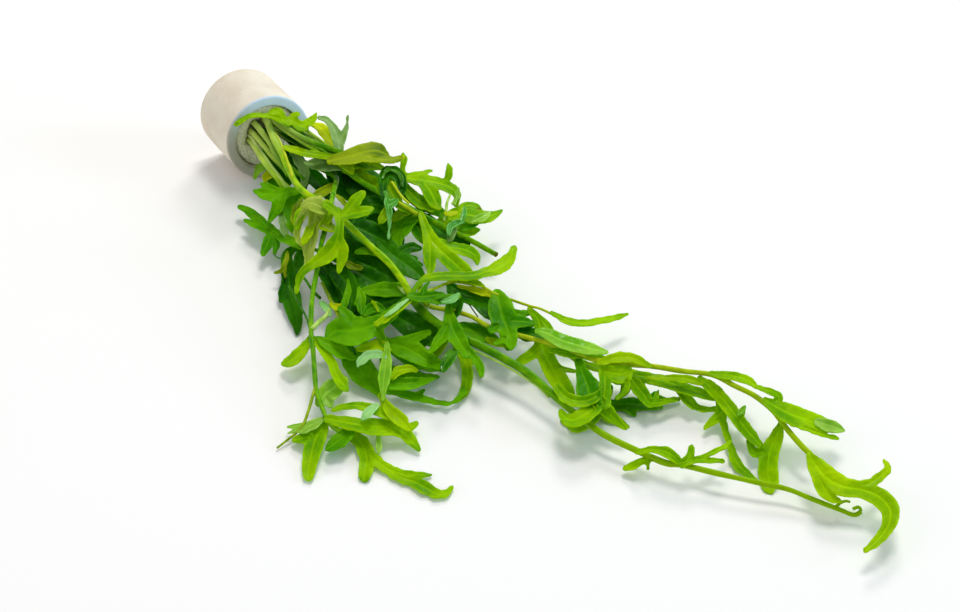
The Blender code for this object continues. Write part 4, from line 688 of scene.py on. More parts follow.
        [(411, 212, 15.6, 4), (404, 212.5, 15.6, 8), (398, 215, 15.2, 9), (393, 220, 14.8, 5)],
    ]),
    "leaf_under_main": dict(tone="deep", fold=0.5, fingers=[
        [(344, 232, 9.6, 12), (355, 244, 9.4, 26), (368, 257, 9, 34), (384, 271, 8.6, 30),
         (398, 284, 8.2, 16), (406, 293, 8, 5)],
    ]),
    "leaf_teal": dict(tone="deep", fold=0.5, fingers=[
        [(332, 268, 10.4, 8), (341, 276, 10.4, 20), (349, 287, 10, 20), (352, 299, 9.4, 16),
         (350, 312, 8.8, 7)],
    ]),
    "leaf_teal_edge": dict(tone="mid", fingers=[
        [(348, 280, 12.6, 3), (348, 291, 12.6, 6), (345, 301, 12.2, 7), (343, 312, 11.8, 5)],
    ]),
    "leaf_front_of_teal": dict(tone="deep", fingers=[
        [(320, 258, 9.6, 8), (326, 270, 9.2, 18), (334, 284, 8.6, 18), (340, 298, 8, 14),
         (344, 310, 7.4, 6)],
    ]),
    "leaf_yellow_nub": dict(tone="yellow", fingers=[
        [(331, 304, 11, 4), (337, 307, 11.2, 7), (343, 307, 11.4, 6), (346, 303, 11.4, 3)],
    ]),
    "leaf_teal_low": dict(tone="mid", fold=0.5, fingers=[
        [(362, 292, 12.2, 6), (374, 290, 12.4, 12), (388, 289.5, 12.6, 15), (400, 290, 12.4, 12),
         (407, 293, 12.2, 5)],
    ]),
    "leaf_teal_end": dict(tone="clear", fold=0.3, fingers=[
        [(398, 284, 13, 3), (402, 287.5, 13, 7), (405, 293, 12.8, 4)],
    ]),
    "leaf_centre_small": dict(tone="mid", fingers=[
        [(357, 252, 12.4, 5), (366, 250.5, 12.4, 8), (376, 254, 12, 4)],
    ]),
    "leaf_centre_speck": dict(tone="olive", fingers=[
        [(345, 262, 11.8, 4), (352, 266, 11.8, 7), (361, 268, 11.4, 4)],
    ]),
    "leaf_brown_tip": dict(tone="olive", fingers=[
        [(399, 256, 12.6, 4), (405, 251, 12.8, 8), (412, 248, 12.8, 9), (419.5, 248, 12.6, 5)],
    ]),
    "leaf_main_teeth": dict(tone="mid", fold=0.3, fingers=[
        [(396, 252, 12.4, 10), (407, 257, 12.2, 7), (416, 258, 12, 3)],
        [(400, 260, 12.2, 12), (412, 262.5, 12, 8), (422, 265, 11.8, 3)],
        [(404, 267, 12, 12), (414, 271, 11.8, 7), (422, 274, 11.6, 3)],
    ]),
    "leaf_node_tuft": dict(tone="mid", fingers=[
        [(414, 297, 17.6, 6), (423, 297, 17.4, 10), (433, 295.5, 17.2, 9), (443, 294, 16.8, 4)],
        [(422, 295, 17.4, 7), (425, 288, 17.6, 5), (428, 283, 17.8, 3)],
        [(430, 298, 17.2, 6), (437, 303, 16.8, 4)],
    ]),
    "leaf_serrated": dict(tone="mid", fingers=[
        [(359, 289, 13, 4), (361, 297, 12.8, 9), (361, 305, 12.6, 9), (362, 313, 12.4, 5)],
        [(360, 300, 12.8, 5), (355, 304, 12.4, 3)],
    ]),
    "leaf_serrated_right": dict(tone="mid", fingers=[
        [(365, 314, 13, 5), (371, 308, 13.2, 11), (378, 307, 13, 9), (384, 311, 12.8, 5)],
    ]),
    "leaf_serrated_stripe": dict(tone="lime", fingers=[
        [(372, 301, 14, 2), (375, 305, 14, 3), (378, 310, 13.8, 2)],
    ]),
    "leaf_under_node": dict(tone="deep", fold=0.5, fingers=[
        [(406, 293, 9, 6), (394, 297, 8.8, 14), (380, 302, 8.4, 22), (364, 306, 8, 24),
         (350, 308, 7.6, 16), (340, 306, 7.2, 6)],
    ]),
    "leaf_mint_stalk": dict(tone="lime", lean=0, fold=0.2, fingers=[
        [(411, 299, 18, 4), (402, 306, 17.8, 6), (393, 312.5, 17.2, 7), (384, 319.5, 16.2, 7),
         (377, 324, 15.6, 5)],
    ]),
    # A thin sheet of painted highlight along the mint stalk
    "leaf_mint_shine": dict(tone="mint", lean=0, fold=0.2, fingers=[
        [(408, 299.5, 18.8, 2), (400, 305, 18.6, 4), (392, 311, 18, 4), (385, 316, 17.2, 2)],
    ]),
    "leaf_mint_bud": dict(tone="mint", fold=0.3, fingers=[
        [(330, 315, 10, 4), (328, 309, 10.4, 7), (324, 305, 10.6, 7), (321, 303, 10.6, 4)],
    ]),
    "leaf_under_fork": dict(tone="deep", fold=0.5, fingers=[
        [(449, 284, 11.2, 6), (455, 296, 10.8, 14), (456, 307, 10.2, 13), (453, 317, 9.6, 6)],
        [(452, 287, 11, 8), (464, 294, 10.8, 14), (478, 300, 10.2, 17), (490, 308, 9.6, 22),
         (500, 316, 9, 12)],
    ]),
    "leaf_node_right_end": dict(tone="wet", fingers=[
        [(442, 302, 16.4, 3), (448, 301, 16.4, 6), (454, 298, 16.2, 7), (458, 295, 15.8, 4)],
    ]),
    "leaf_fan_wide": dict(tone="mid", lean=0.04, fingers=[
        [(497, 294, 12.6, 10), (500, 306, 12.2, 24), (503, 318, 11.8, 26), (508, 330, 11.2, 18),
         (511, 341, 10.6, 12), (511, 348, 10.2, 5)],
        [(508, 321, 11.4, 14), (519, 321.5, 11, 12), (527, 322, 10.6, 8), (533, 323, 10.2, 4)],
        [(498, 325, 11.4, 12), (492, 329.5, 11, 7), (488, 328, 11, 3)],
        [(508, 336, 10.8, 9), (501, 341, 10.4, 7), (496, 343, 10.2, 4)],
    ]),
    "leaf_fan_behind": dict(tone="deep", fingers=[
        [(517, 332, 9, 8), (526, 334, 8.8, 14), (535, 335, 8.6, 12), (542, 337, 8.4, 5)],
    ]),
    "leaf_strap_end": dict(tone="lime", fingers=[
        [(487, 339, 6.6, 5), (496, 342.5, 6.2, 8), (504, 343, 5.8, 8), (510, 346, 5.4, 4)],
    ]),
    "leaf_thin_front": dict(tone="mid", fingers=[
        [(449, 302, 13.4, 5), (449, 312, 13.2, 9), (450.5, 322, 13, 14), (454, 332, 12.8, 18),
         (460, 342, 12.2, 15), (466, 353, 11, 11)],
        [(449, 324, 12.8, 10), (443, 335, 12.4, 12), (436, 344, 11.8, 9), (430, 352, 11.2, 4)],
        [(466, 349, 11.2, 9), (474, 357, 10.4, 8), (480, 366, 9.6, 8), (482, 375, 9, 4)],
    ]),
    "leaf_dark_roll": dict(tone="gloss", lean=0.2, fold=0.8, fingers=[
        [(456, 350, 11.4, 6), (451, 356, 11, 11), (446, 363, 10.4, 11), (443, 370, 9.8, 5)],
    ]),
    "leaf_pot_left": dict(tone="deep", fold=0.5, fingers=[
        [(384, 314, 7.6, 8), (398, 318, 7.6, 18), (412, 325, 7.4, 27), (426, 333, 7, 24),
         (438, 341, 6.6, 10)],
    ]),
    "leaf_wide_front": dict(tone="mid", fold=0.5, fingers=[
        [(382, 344, 9.4, 6), (392, 345, 9.2, 14), (403, 347, 9, 21), (414, 352, 8.8, 21),
         (425, 359, 8.4, 15), (437, 364, 7.8, 10), (446, 366, 7.4, 6)],
        [(403, 343, 9.2, 12), (413, 339, 9.4, 10), (422, 335, 9.6, 8), (429, 332, 9.6, 5)],
    ]),
    "leaf_low_point": dict(tone="mid", fingers=[
        [(386, 384, 7, 8), (396, 384, 6.8, 13), (408, 383.5, 6.4, 12), (420, 382, 6, 9),
         (434, 378, 5.4, 3)],
    ]),
    "leaf_low_lime": dict(tone="lime", fingers=[
        [(392, 377, 7.8, 6), (397, 371.5, 8, 9), (405, 369, 8, 8), (412, 369, 7.8, 6),
         (416, 371, 7.6, 3)],
    ]),
    "leaf_middle_clear": dict(tone="pale", fingers=[
        [(387, 343, 11, 4), (387, 355, 10.6, 8), (385.5, 368, 10, 12), (384, 380, 9.2, 11),
         (383.5, 390, 8.2, 6), (383, 400, 7.2, 3)],
    ]),
    "leaf_front_lime": dict(tone="lime", fingers=[
        [(358, 349, 9.8, 3), (363, 347.5, 10, 8), (371, 346, 10.2, 10), (380, 345, 10.2, 11),
         (389, 349, 10, 5)],
    ]),
    # A lobe whose pale bluish green is painted highlight
    "leaf_front_wet": dict(tone="mint", fingers=[
        [(358, 366, 8.6, 3), (361, 361, 9.2, 8), (368, 355.5, 10, 9), (378, 354, 10.6, 8),
         (385, 357, 10.6, 4)],
    ]),
    "leaf_front_node": dict(tone="mid", fingers=[
        [(318, 338, 9.6, 4), (326, 343, 9.4, 10), (337, 349, 8.8, 15), (348, 355, 8.2, 9),
         (357, 358, 7.6, 4)],
    ]),
    "leaf_front_oval": dict(tone="mid", fold=0.5, fingers=[
        [(352, 430, 4, 6), (346, 435, 3.8, 13), (339, 440.5, 3.4, 15), (332, 445.5, 3, 11),
         (327, 449, 2.8, 4)],
    ]),
    "leaf_front_back": dict(tone="clear", fingers=[
        [(323, 419, 3.8, 4), (316, 423, 3.6, 9), (308, 427, 3.2, 9), (302, 432, 2.8, 4)],
        [(310, 425, 3.4, 6), (299, 426, 3, 6), (288, 427, 2.6, 2)],
        [(304, 430, 3, 5), (295, 431, 2.6, 4), (289, 433, 2.4, 2)],
    ]),
    "leaf_arc_blue": dict(tone="mint", fold=0.3, fingers=[
        [(377, 405, 7.4, 4), (372, 409, 7.2, 8), (367, 414, 6.6, 9), (363, 419, 6, 4)],
    ]),
    "leaf_arc_right": dict(tone="lime", fingers=[
        [(382, 396, 6.6, 4), (386, 405, 6.4, 9), (393, 413, 6, 13), (401, 420, 5.4, 13),
         (409, 428, 4.8, 6)],
    ]),
    "leaf_fork_pale": dict(tone="clear", fold=0.3, fingers=[
        [(378, 437, 3, 4), (379, 445, 2.4, 6), (378, 453, 1.6, 3)],
    ]),
    "leaf_mass_left": dict(tone="mid", fold=0.5, fingers=[
        [(300, 190, 13, 8), (294, 199, 12.2, 17), (291, 211, 10.8, 18), (291, 222, 9.4, 13),
         (295, 232, 8.2, 6)],
    ]),
    "leaf_mass_olive": dict(tone="olive", fingers=[
        [(301, 200, 13.6, 4), (297, 208, 13.2, 8), (295, 217, 12.4, 9), (296, 226, 11.6, 5)],
    ]),
    "leaf_left_pale": dict(tone="sage", fingers=[
        [(281, 204, 12, 3), (281, 212, 11, 5), (282.5, 221, 9.8, 7), (284, 229, 8.8, 8),
         (287, 236, 7.8, 4)],
    ]),
    "leaf_fan_stalk": dict(tone="mid", fingers=[
        [(306, 248, 10.6, 4), (297, 243.5, 9.4, 9), (287, 239, 8, 10), (277, 234.5, 6.8, 8),
         (270, 230, 6, 5)],
    ]),
    "leaf_yellow_sprig": dict(tone="olive", fold=0.3, fingers=[
        [(287.5, 252, 7, 3), (286, 260, 6.6, 5), (284, 268, 6, 5), (285, 276, 5.4, 3)],
        [(284, 269, 6, 3), (280, 271.5, 5.4, 3.5), (276, 272.5, 5, 2.5)],
    ]),
    "leaf_dark_behind": dict(tone="deep", fingers=[
        [(306, 248, 8.6, 6), (300, 257, 8, 11), (298, 267, 7.2, 9), (300, 278, 6.4, 4)],
    ]),
    "leaf_flap_top": dict(tone="lemon", fold=0.3, fingers=[
        [(303, 206, 24.8, 5), (309, 203, 25.6, 10), (317, 205, 25.8, 15), (323, 209, 25.4, 10),
         (326, 212, 25, 4)],
    ]),
    "leaf_flap_outer": dict(tone="bright", fingers=[
        [(307, 206, 22.4, 9), (300, 215, 21, 10), (297, 223, 19.8, 7), (296.5, 229, 19, 3)],
    ]),
    "leaf_flap_inner": dict(tone="lime", fingers=[
        [(314, 220, 21.4, 7), (309, 231, 19.8, 9), (305, 239, 18.6, 7), (303, 244, 18, 3)],
    ]),
    "leaf_flap_right": dict(tone="lime", fingers=[
        [(322, 226, 21.6, 6), (328, 217, 22.4, 9), (331, 209, 23, 10), (327, 203, 23.4, 6)],
        [(324, 226, 21.4, 8), (330, 229, 20.8, 6), (335, 229, 20.4, 3)],
    ]),
    "leaf_far_blue": dict(tone="clear", fold=0.3, fingers=[
        [(454, 203, 15.6, 4), (457, 196, 16.6, 5), (458, 189, 17.4, 4)],
    ]),
    "leaf_end_low": dict(tone="mid", fingers=[
        [(449, 222, 12.2, 4), (458, 226, 11.8, 8), (469, 226, 11.4, 8), (479, 222, 11.2, 4)],
    ]),
    "leaf_end_blue": dict(tone="clear", fold=0.5, fingers=[
        [(472, 222, 14, 3), (478, 219, 14.2, 7), (484, 216, 14, 8), (489, 213, 13.6, 3)],
    ]),
    "leaf_end_patch": dict(tone="wet", fingers=[
        [(464, 207, 15.4, 2), (464, 213, 15.2, 5), (462, 220, 14.8, 4)],
    ]),
    "leaf_end_band": dict(tone="wet", lean=0.3, fold=0.8, fingers=[
        [(449, 234, 15, 4), (450, 227, 15.4, 6), (456, 222.5, 15.4, 6), (463, 221.5, 15, 3)],
    ]),
    "leaf_end_sage": dict(tone="sage", fingers=[
        [(449, 241, 13.6, 3), (451, 235.5, 14, 8), (454, 231, 14.2, 6)],
    ]),
    "leaf_end_yellow": dict(tone="yellow", fold=0.3, fingers=[
        [(445, 213, 16.4, 3), (450, 213.5, 16.4, 5), (456, 213, 16.2, 3)],
    ]),
    "leaf_wet_under": dict(tone="bright", fold=0.3, fingers=[
        [(550, 350, 10.8, 5), (566, 353, 10.6, 8), (582, 355, 10.4, 8), (604, 357, 10, 3)],
    ]),
    "leaf_upper_strip": dict(tone="lime", fold=0.3, fingers=[
        [(648, 377, 9.6, 3), (662, 377.5, 9.4, 5), (676, 378, 9.2, 7), (690, 379.5, 9, 8),
         (701, 383, 8.6, 5)],
    ]),
    "leaf_tip_upper": dict(tone="bright", fingers=[
        [(711, 374, 10.6, 5), (724, 375, 10.6, 8), (738, 377, 10.4, 9), (749, 381, 10.2, 8),
         (757, 387, 10, 4)],
    ]),
    "leaf_tip_mark": dict(tone="clear", fold=0.3, fingers=[
        [(818, 422, 9.6, 8), (827, 425, 9.2, 12), (836, 427.5, 8.6, 10), (843, 430.5, 8, 4)],
    ]),
    "leaf_frond_patch": dict(tone="pale", fold=0.3, fingers=[
        [(737, 415, 6.6, 3), (741, 412, 6.8, 6), (744, 408, 7, 4)],
    ]),
}

# A mix node's share and colours among its inputs, and its colour among its outputs
MIX_SOCKETS = (0, 6, 7)
MIX_RESULT = 2

# Leaf finishes: dark and light greens of the surface, the colour of light shining through, the
# share of light that shines through, how rough the surface is and how wet
TONES = {
    # bright, mid and deep are one green from lit to shaded: bright is partly painted light, deep is
    # painted shade for leaves low in the mass and behind others
    "bright": dict(dark=(0.13, 0.38, 0.0006), light=(0.42, 0.66, 0.0008), glow=(0.70, 0.95, 0.002),
                   through=0.46, rough=0.42, wet=0.02),
    "mid": dict(dark=(0.050, 0.26, 0.0006), light=(0.19, 0.49, 0.001), glow=(0.36, 0.84, 0.002),
                through=0.42, rough=0.40, wet=0.02),
    "deep": dict(dark=(0.008, 0.10, 0.0005), light=(0.055, 0.27, 0.001), glow=(0.12, 0.56, 0.0015),
                 through=0.36, rough=0.40, wet=0.03),
    "lime": dict(dark=(0.24, 0.46, 0.001), light=(0.50, 0.70, 0.002), glow=(0.76, 0.96, 0.003),
                 through=0.46, rough=0.42, wet=0.03),
    "yellow": dict(dark=(0.40, 0.56, 0.003), light=(0.70, 0.78, 0.01), glow=(0.90, 0.96, 0.008),
                   through=0.46, rough=0.44, wet=0.02),
    "lemon": dict(dark=(0.32, 0.46, 0.04), light=(0.56, 0.66, 0.12), glow=(0.76, 0.90, 0.08),
                  through=0.42, rough=0.42, wet=0.08),
    "olive": dict(dark=(0.14, 0.25, 0.003), light=(0.42, 0.54, 0.01), glow=(0.60, 0.76, 0.008),
                  through=0.42, rough=0.42, wet=0.03),
    "sage": dict(dark=(0.15, 0.30, 0.05), light=(0.36, 0.55, 0.18), glow=(0.42, 0.72, 0.12),
                 through=0.40, rough=0.36, wet=0.14),
    "pale": dict(dark=(0.17, 0.47, 0.008), light=(0.42, 0.71, 0.06), glow=(0.50, 0.90, 0.03),
                 through=0.42, rough=0.34, wet=0.16),
    # mint: pale bluish greens that are painted highlight, where bluish light is reflected
    "mint": dict(dark=(0.26, 0.60, 0.14), light=(0.52, 0.84, 0.36), glow=(0.50, 0.94, 0.24),
                 through=0.42, rough=0.30, wet=0.30),
    # wet: a real wet coat, with pale bluish greens that are painted highlight
    "wet": dict(dark=(0.08, 0.38, 0.01), light=(0.36, 0.74, 0.26), glow=(0.34, 0.88, 0.10),
                through=0.42, rough=0.20, wet=0.45),
    "clear": dict(dark=(0.28, 0.54, 0.03), light=(0.52, 0.76, 0.14), glow=(0.60, 0.92, 0.09),
                  through=0.46, rough=0.24, wet=0.40),
    "gloss": dict(dark=(0.020, 0.16, 0.001), light=(0.14, 0.42, 0.02), glow=(0.22, 0.66, 0.01),
                  through=0.38, rough=0.14, wet=0.60),
}

# A leaf's side veins: how close they are and how they slant, and how much lighter veins are, a colour
# also laid on the rim as painted edge light
SIDE_VEINS = 62.0
SIDE_VEIN_SLANT = 7.0
VEIN_LIGHTER = 1.3
WATER_IOR = 1.33

# Stem finishes: dark and light greens, and the paler colour of a stem's foot
STEM_TONES = {
    "stem": ((0.045, 0.22, 0.0006), (0.21, 0.48, 0.001), (0.54, 0.66, 0.14)),
    "stem_mid": ((0.14, 0.38, 0.001), (0.42, 0.64, 0.002), (0.60, 0.72, 0.16)),
    # The darkest stem green is painted shade, for thin stalks seen under the leaves
    "stem_shaded": ((0.012, 0.11, 0.0006), (0.07, 0.26, 0.001), (0.24, 0.40, 0.05)),
    "stem_pale": ((0.28, 0.50, 0.05), (0.56, 0.74, 0.18), (0.62, 0.72, 0.24)),
    "stem_olive": ((0.13, 0.25, 0.003), (0.38, 0.50, 0.02), (0.38, 0.50, 0.12)),
    "stem_yellow": ((0.34, 0.46, 0.004), (0.58, 0.68, 0.02), (0.50, 0.62, 0.14)),
}

# Brown tips and cuts: (pixel x, pixel y, height over the table, reach in millimetres)
BROWN_MARKS = [
    (497, 255, 7.4, 1.6), (479, 208, 12.6, 1.1), (237, 124, 27.5, 1.0), (497, 333, 6.2, 1.0),
    (713, 375, 9.4, 1.0),
]
BROWN = (0.10, 0.045, 0.006)

# The yellower green of the stems' far halves, and how far from the ring it sets in, in millimetres
RIPE_STEM = (0.30, 0.50, 0.001)
RIPE_FROM_TO = (172.0, 205.0)

# How far from the ring a stem's foot is paler, in millimetres, and how its streaks are stretched
FOOT_REACH = 26.0
STREAKS = (0.25, 0.8, 1.0)

# Ceramic, dark to light, with its pits and specks, and its front face from painted shade to painted
# bluish sky light
CREAM = ((0.72, 0.63, 0.49), (0.80, 0.73, 0.60))
CREAM_PIT = (0.55, 0.47, 0.35)
SPECK = (0.20, 0.15, 0.10)
RING_FACE_SHADE_TO_SKY_LIGHT = ((0.40, 0.385, 0.315), (0.66, 0.82, 0.98))

# Fibre, dark to light, with its gaps and crumbs, and the painted shade down its cracks
FIBRE = ((0.88, 0.86, 0.62), (0.96, 0.94, 0.76))
FIBRE_GAP = (0.56, 0.53, 0.33)
FIBRE_CRUMB = (0.98, 0.96, 0.86)
CRACK_PAINTED_SHADE = (0.10, 0.11, 0.05)

# The table top, in metres, and the room
TABLE_WHITE = ((0.880, 0.866, 0.845), (0.895, 0.88, 0.86))
TABLE_WIDTH = 6.0
TABLE_GAP = 0.00002
ROOM_COLOUR = (0.955, 0.985, 1.03)
ROOM_STRENGTH = 0.54

# Lights: (right, ahead, high) of the bunch's middle in metres, size, power and colour
LIGHTS = {
    "key_softbox": ((0.3, 0.9, 2.3), 0.8, 25.0, (1.0, 0.98, 0.93)),
    "low_back_light": ((0.3, 1.7, 1.25), 0.5, 12.0, (1.0, 0.985, 0.95)),
    "cool_window": ((1.5, -0.2, 0.55), 0.5, 7.0, (0.50, 0.76, 1.0)),
    "left_fill": ((-1.3, -0.6, 0.6), 0.8, 3.0, (1.0, 0.97, 0.92)),
}


def sight_axes():
    """The photograph's right, up and forward directions."""
    ahead = np.array([-math.cos(VIEW_TURN), math.sin(VIEW_TURN), 0.0])
    right = np.array([math.sin(VIEW_TURN), math.cos(VIEW_TURN), 0.0])
    high = np.array([0.0, 0.0, 1.0])
    forward = ahead * math.cos(VIEW_DOWN) - high * math.sin(VIEW_DOWN)
    up = ahead * math.sin(VIEW_DOWN) + high * math.cos(VIEW_DOWN)
    return right, up, forward


RIGHT, UP, FORWARD = sight_axes()
RING_LOW, RING_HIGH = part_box("ceramic_ring")
RING_OUTER = (RING_HIGH.z - RING_LOW.z) / MM
RING_LENGTH = (RING_HIGH.x - RING_LOW.x) / MM
RING_AXIS_HEIGHT = RING_OUTER / 2
RING_PLACE = np.array([RING_HIGH.x, (RING_LOW.y + RING_HIGH.y) / 2, RING_LOW.z])


def in_frame(points):
    """Points of the ring's frame, in millimetres, as places of the row frame, in metres."""
    return np.asarray(points) * MM + RING_PLACE


def sight_lines(pixels):
    """Directions from the viewpoint through these pixels, one row each."""
    pixels = np.asarray(pixels, dtype=float)
    across = (pixels[..., 0] - PHOTO_SIZE[0] / 2) / LENS_IN_PIXELS
    down = (pixels[..., 1] - PHOTO_SIZE[1] / 2) / LENS_IN_PIXELS
    return FORWARD + across[..., None] * RIGHT - down[..., None] * UP


def photo_points(pixels, heights):
    """The places at these heights over the table that the photograph shows at these pixels."""
    lines = sight_lines(pixels)
    reach = (np.asarray(heights, dtype=float) - VIEW_FROM[2]) / lines[..., 2]
    return np.array(VIEW_FROM) + reach[..., None] * lines


def photo_point_at_x(pixel, x):
    """The place that the photograph shows at this pixel, in the plane at this x."""
    line = sight_lines([pixel])[0]
    return np.array(VIEW_FROM) + (x - VIEW_FROM[0]) / line[0] * line


def smooth_route(points, step, measured=2):
    """A Catmull-Rom curve through the points, sampled about every step of its first columns."""
    points = np.asarray(points, dtype=float)
    ends = np.vstack([2 * points[0] - points[1], points, 2 * points[-1] - points[-2]])
    samples = []
    for a, b, c, d in zip(ends, ends[1:], ends[2:], ends[3:]):
        length = np.linalg.norm((c - b)[:measured])
        count = max(1, round(length / step))
        t = (np.arange(count) / count)[:, None]
        samples.append(0.5 * (2 * b + (c - a) * t + (2 * a - 5 * b + 4 * c - d) * t**2
                              + (3 * b - a - 3 * c + d) * t**3))
    samples.append(points[-1:])
    return np.vstack(samples)


def way_along(points):
    """How far along a row of points each of them is."""
    steps = np.linalg.norm(np.diff(points, axis=0), axis=1)
    return np.concatenate([[0.0], np.cumsum(steps)])


def ripple(places, wave, seed):
    """A smooth uneven value, from about -1 to 1, with bumps about a wave apart."""
    draws = np.random.default_rng(seed).uniform(0, 2 * math.pi, (RIPPLE_WAVES, 2))
    total = np.zeros(len(places))
    for heading, phase in draws:
        direction = np.array([math.cos(heading), math.sin(heading)])
        total += np.sin(places[:, :2] @ direction * (2 * math.pi / wave) + phase)
    return total / (RIPPLE_WAVES / 2)


def ripples(places, waves, seed):
    """The sum of a ripple for each (height, wave)."""
    return sum(height * ripple(places, wave, seed + i) for i, (height, wave) in enumerate(waves))


def seed_of(name):
    """A number that is the same each run for the same name."""
    return sum((i + 1) * ord(letter) for i, letter in enumerate(name))


def pointed(samples):
    """A finger's samples with its far end drawn out into a point, as far as its round end reached."""
    reach = samples[-1, -1] / 2
    ahead = samples[-1, :2] - samples[-2, :2]
    ahead /= max(np.linalg.norm(ahead), LEAST)
    added = []
    for share in np.arange(1, TIP_SAMPLES + 1) / TIP_SAMPLES:
        sample = samples[-1].copy()
        sample[:2] += ahead * reach * share * TIP_REACH
        sample[-1] *= 1.0 - TIP_TAPER * share
        added.append(sample)
    return np.vstack([samples, added])


class Blade:
    """A leaf's fingers in the photograph's plane. A finger is a row of (x, y, width) or
    (x, y, height, width), and the blade is what they cover together."""

    def __init__(self, name, fingers):
        self.seed = seed_of(name)
        self.fingers = []
        for finger in fingers:
            samples = pointed(smooth_route(finger, FINGER_STEP))
            middle = samples[:, :2]
            along = np.gradient(middle, axis=0)
            along /= np.maximum(np.linalg.norm(along, axis=1), LEAST)[:, None]
            half = np.maximum(samples[:, -1] / 2, LEAST_HALF)
            self.fingers.append(dict(middle=middle, along=along, half=half, way=way_along(middle),
                                     samples=samples))

    def nearest(self, finger, pixels):
        """The finger's sample that is nearest to each pixel by its edge, and how far its edge is."""
        offset = pixels[:, None, :] - finger["middle"][None, :, :]
        reach = np.sqrt((offset**2).sum(axis=2)) - finger["half"][None, :]
        which = np.argmin(reach, axis=1)
        return which, reach[np.arange(len(pixels)), which]

    def beside(self, finger, pixels):
        """What nearest gives, and how far across the finger's vein each pixel is."""
        which, reach = self.nearest(finger, pixels)
        offset = pixels - finger["middle"][which]
        along = finger["along"][which]
        return which, reach, offset[:, 0] * along[:, 1] - offset[:, 1] * along[:, 0]

    def edge(self, pixels):
        """How far outside the blade's edge each pixel is, negative inside."""
        closeness = np.zeros(len(pixels))
        for finger in self.fingers:
            _, reach = self.nearest(finger, pixels)
            closeness += np.exp(-np.clip(reach, -FAR, FAR) / BLEND)
        uneven = ripples(pixels, EDGE_RIPPLES, self.seed)
        return -BLEND * np.log(np.maximum(closeness, LEAST_CLOSENESS)) + uneven

    def position(self, pixels):
        """For each pixel: pixels across from its finger's vein, that as a share of the half width,
        and pixels along the finger."""
        best = np.full(len(pixels), np.inf)
        across, share, way = np.zeros((3, len(pixels)))
        for finger in self.fingers:
            which, reach, side = self.beside(finger, pixels)
            closer = reach < best
            best[closer] = reach[closer]
            across[closer] = side[closer]
            share[closer] = (side / finger["half"][which])[closer]
            way[closer] = finger["way"][which][closer]
        return across, np.clip(share, -1, 1), way

    def traced_heights(self, pixels, lean, fold):
        """Heights from the fingers' own: lean lifts one side, fold lifts both edges."""
        total, weight = np.zeros((2, len(pixels)))
        for finger in self.fingers:
            which, reach, side = self.beside(finger, pixels)
            share = np.clip(np.abs(side) / finger["half"][which], 0, FOLD_CLIP)
            height = finger["samples"][which, 2] + lean * side + fold * share**2
            close = 1.0 / (np.maximum(reach + finger["half"][which], 0) ** 2 + 1.0) ** 2
            total += close * height
            weight += close
        return total / weight

    def relief(self, pixels):
        """The small ups and downs of the blade: its vein, the swells beside it and its wavy rim.
        Also where each pixel is, as a share of the half width and in pixels along its finger."""
        across, share, way = self.position(pixels)
        vein = -VEIN_DEPTH * np.exp(-(across / VEIN_REACH) ** 2)
        folded = np.minimum(FOLD_RISE * np.abs(across), FOLD_MOST)
        slanted = np.cos((way - SWELL_SLANT * np.abs(across)) * (2 * math.pi / SWELL_WAVE))
        swells = SWELL_HEIGHT * slanted * np.minimum(np.abs(share) * 2, 1)
        rim = np.abs(share) ** 3 * ripples(pixels, RIM_RIPPLES, self.seed + 2)
        broad = ripples(pixels, BROAD_RIPPLES, self.seed + 3)
        return vein + folded + swells + rim + broad, share, way


def lattice(blade):
    """Points on a lattice of equal triangles over the blade, and the triangles."""
    middles = np.vstack([finger["middle"] for finger in blade.fingers])
    margin = max(finger["half"].max() for finger in blade.fingers) + 3 * LATTICE
    low, high = middles.min(axis=0) - margin, middles.max(axis=0) + margin
    rise = LATTICE * math.sqrt(3) / 2
    columns = int((high[0] - low[0]) / LATTICE) + 2
    rows = int((high[1] - low[1]) / rise) + 2
    row, column = np.mgrid[0:rows, 0:columns]
    points = np.stack([low[0] + (column + 0.5 * (row % 2)) * LATTICE, low[1] + row * rise], axis=2)
    index = row * columns + column
    here, right = index[:-1, :-1], index[:-1, 1:]
    below, below_right = index[1:, :-1], index[1:, 1:]
    even = (row[:-1, :-1] % 2) == 0
    first = np.stack([here, right, np.where(even, below, below_right)], axis=2)
    second = np.stack([np.where(even, right, here), below_right, below], axis=2)
    return points.reshape(-1, 2), np.vstack([first.reshape(-1, 3), second.reshape(-1, 3)])


def clipped_blade(blade):
    """The blade as points and triangles, with its rim on the blade's edge."""
    points, triangles = lattice(blade)
    edge = blade.edge(points)
    near = np.abs(edge) < EDGE_SNAP * LATTICE
    slope = np.stack([blade.edge(points[near] + np.array(step)) - edge[near]
                      for step in ((SLOPE_PROBE, 0.0), (0.0, SLOPE_PROBE))], axis=1) / SLOPE_PROBE
    steep = np.maximum((slope**2).sum(axis=1), LEAST_STEEP)
    points[near] -= slope * (edge[near] / steep)[:, None]
    edge[near] = 0.0
    inside = (edge <= 0)[triangles].sum(axis=1)
    strictly = (edge < 0)[triangles].any(axis=1)
    kept = [tuple(t) for t in triangles[(inside == 3) & strictly]]
    points = list(points)
    made = {}

    def crossing(a, b):
        """The rim's point between a, inside, and b, outside."""
        if edge[a] == 0:
            return a
        if (a, b) not in made:
            share = edge[a] / (edge[a] - edge[b])
            made[a, b] = len(points)
            points.append(points[a] + share * (points[b] - points[a]))
        return made[a, b]

    for t in triangles[((inside == 1) | (inside == 2)) & strictly]:
        turn = [k for k in range(3) if edge[t[k]] <= 0 and edge[t[k - 1]] > 0][0]
        a, b, c = (int(t[(turn + k) % 3]) for k in range(3))
        if edge[b] <= 0:
            loop = [a, b, crossing(b, c), crossing(a, c)]
        else:
            loop = [a, crossing(a, b), crossing(a, c)]
        loop = [v for k, v in enumerate(loop) if v != loop[k - 1]]
        kept += [(loop[0], loop[k], loop[k + 1]) for k in range(1, len(loop) - 1)]
    return largest_patch(np.array(points), np.array(kept))


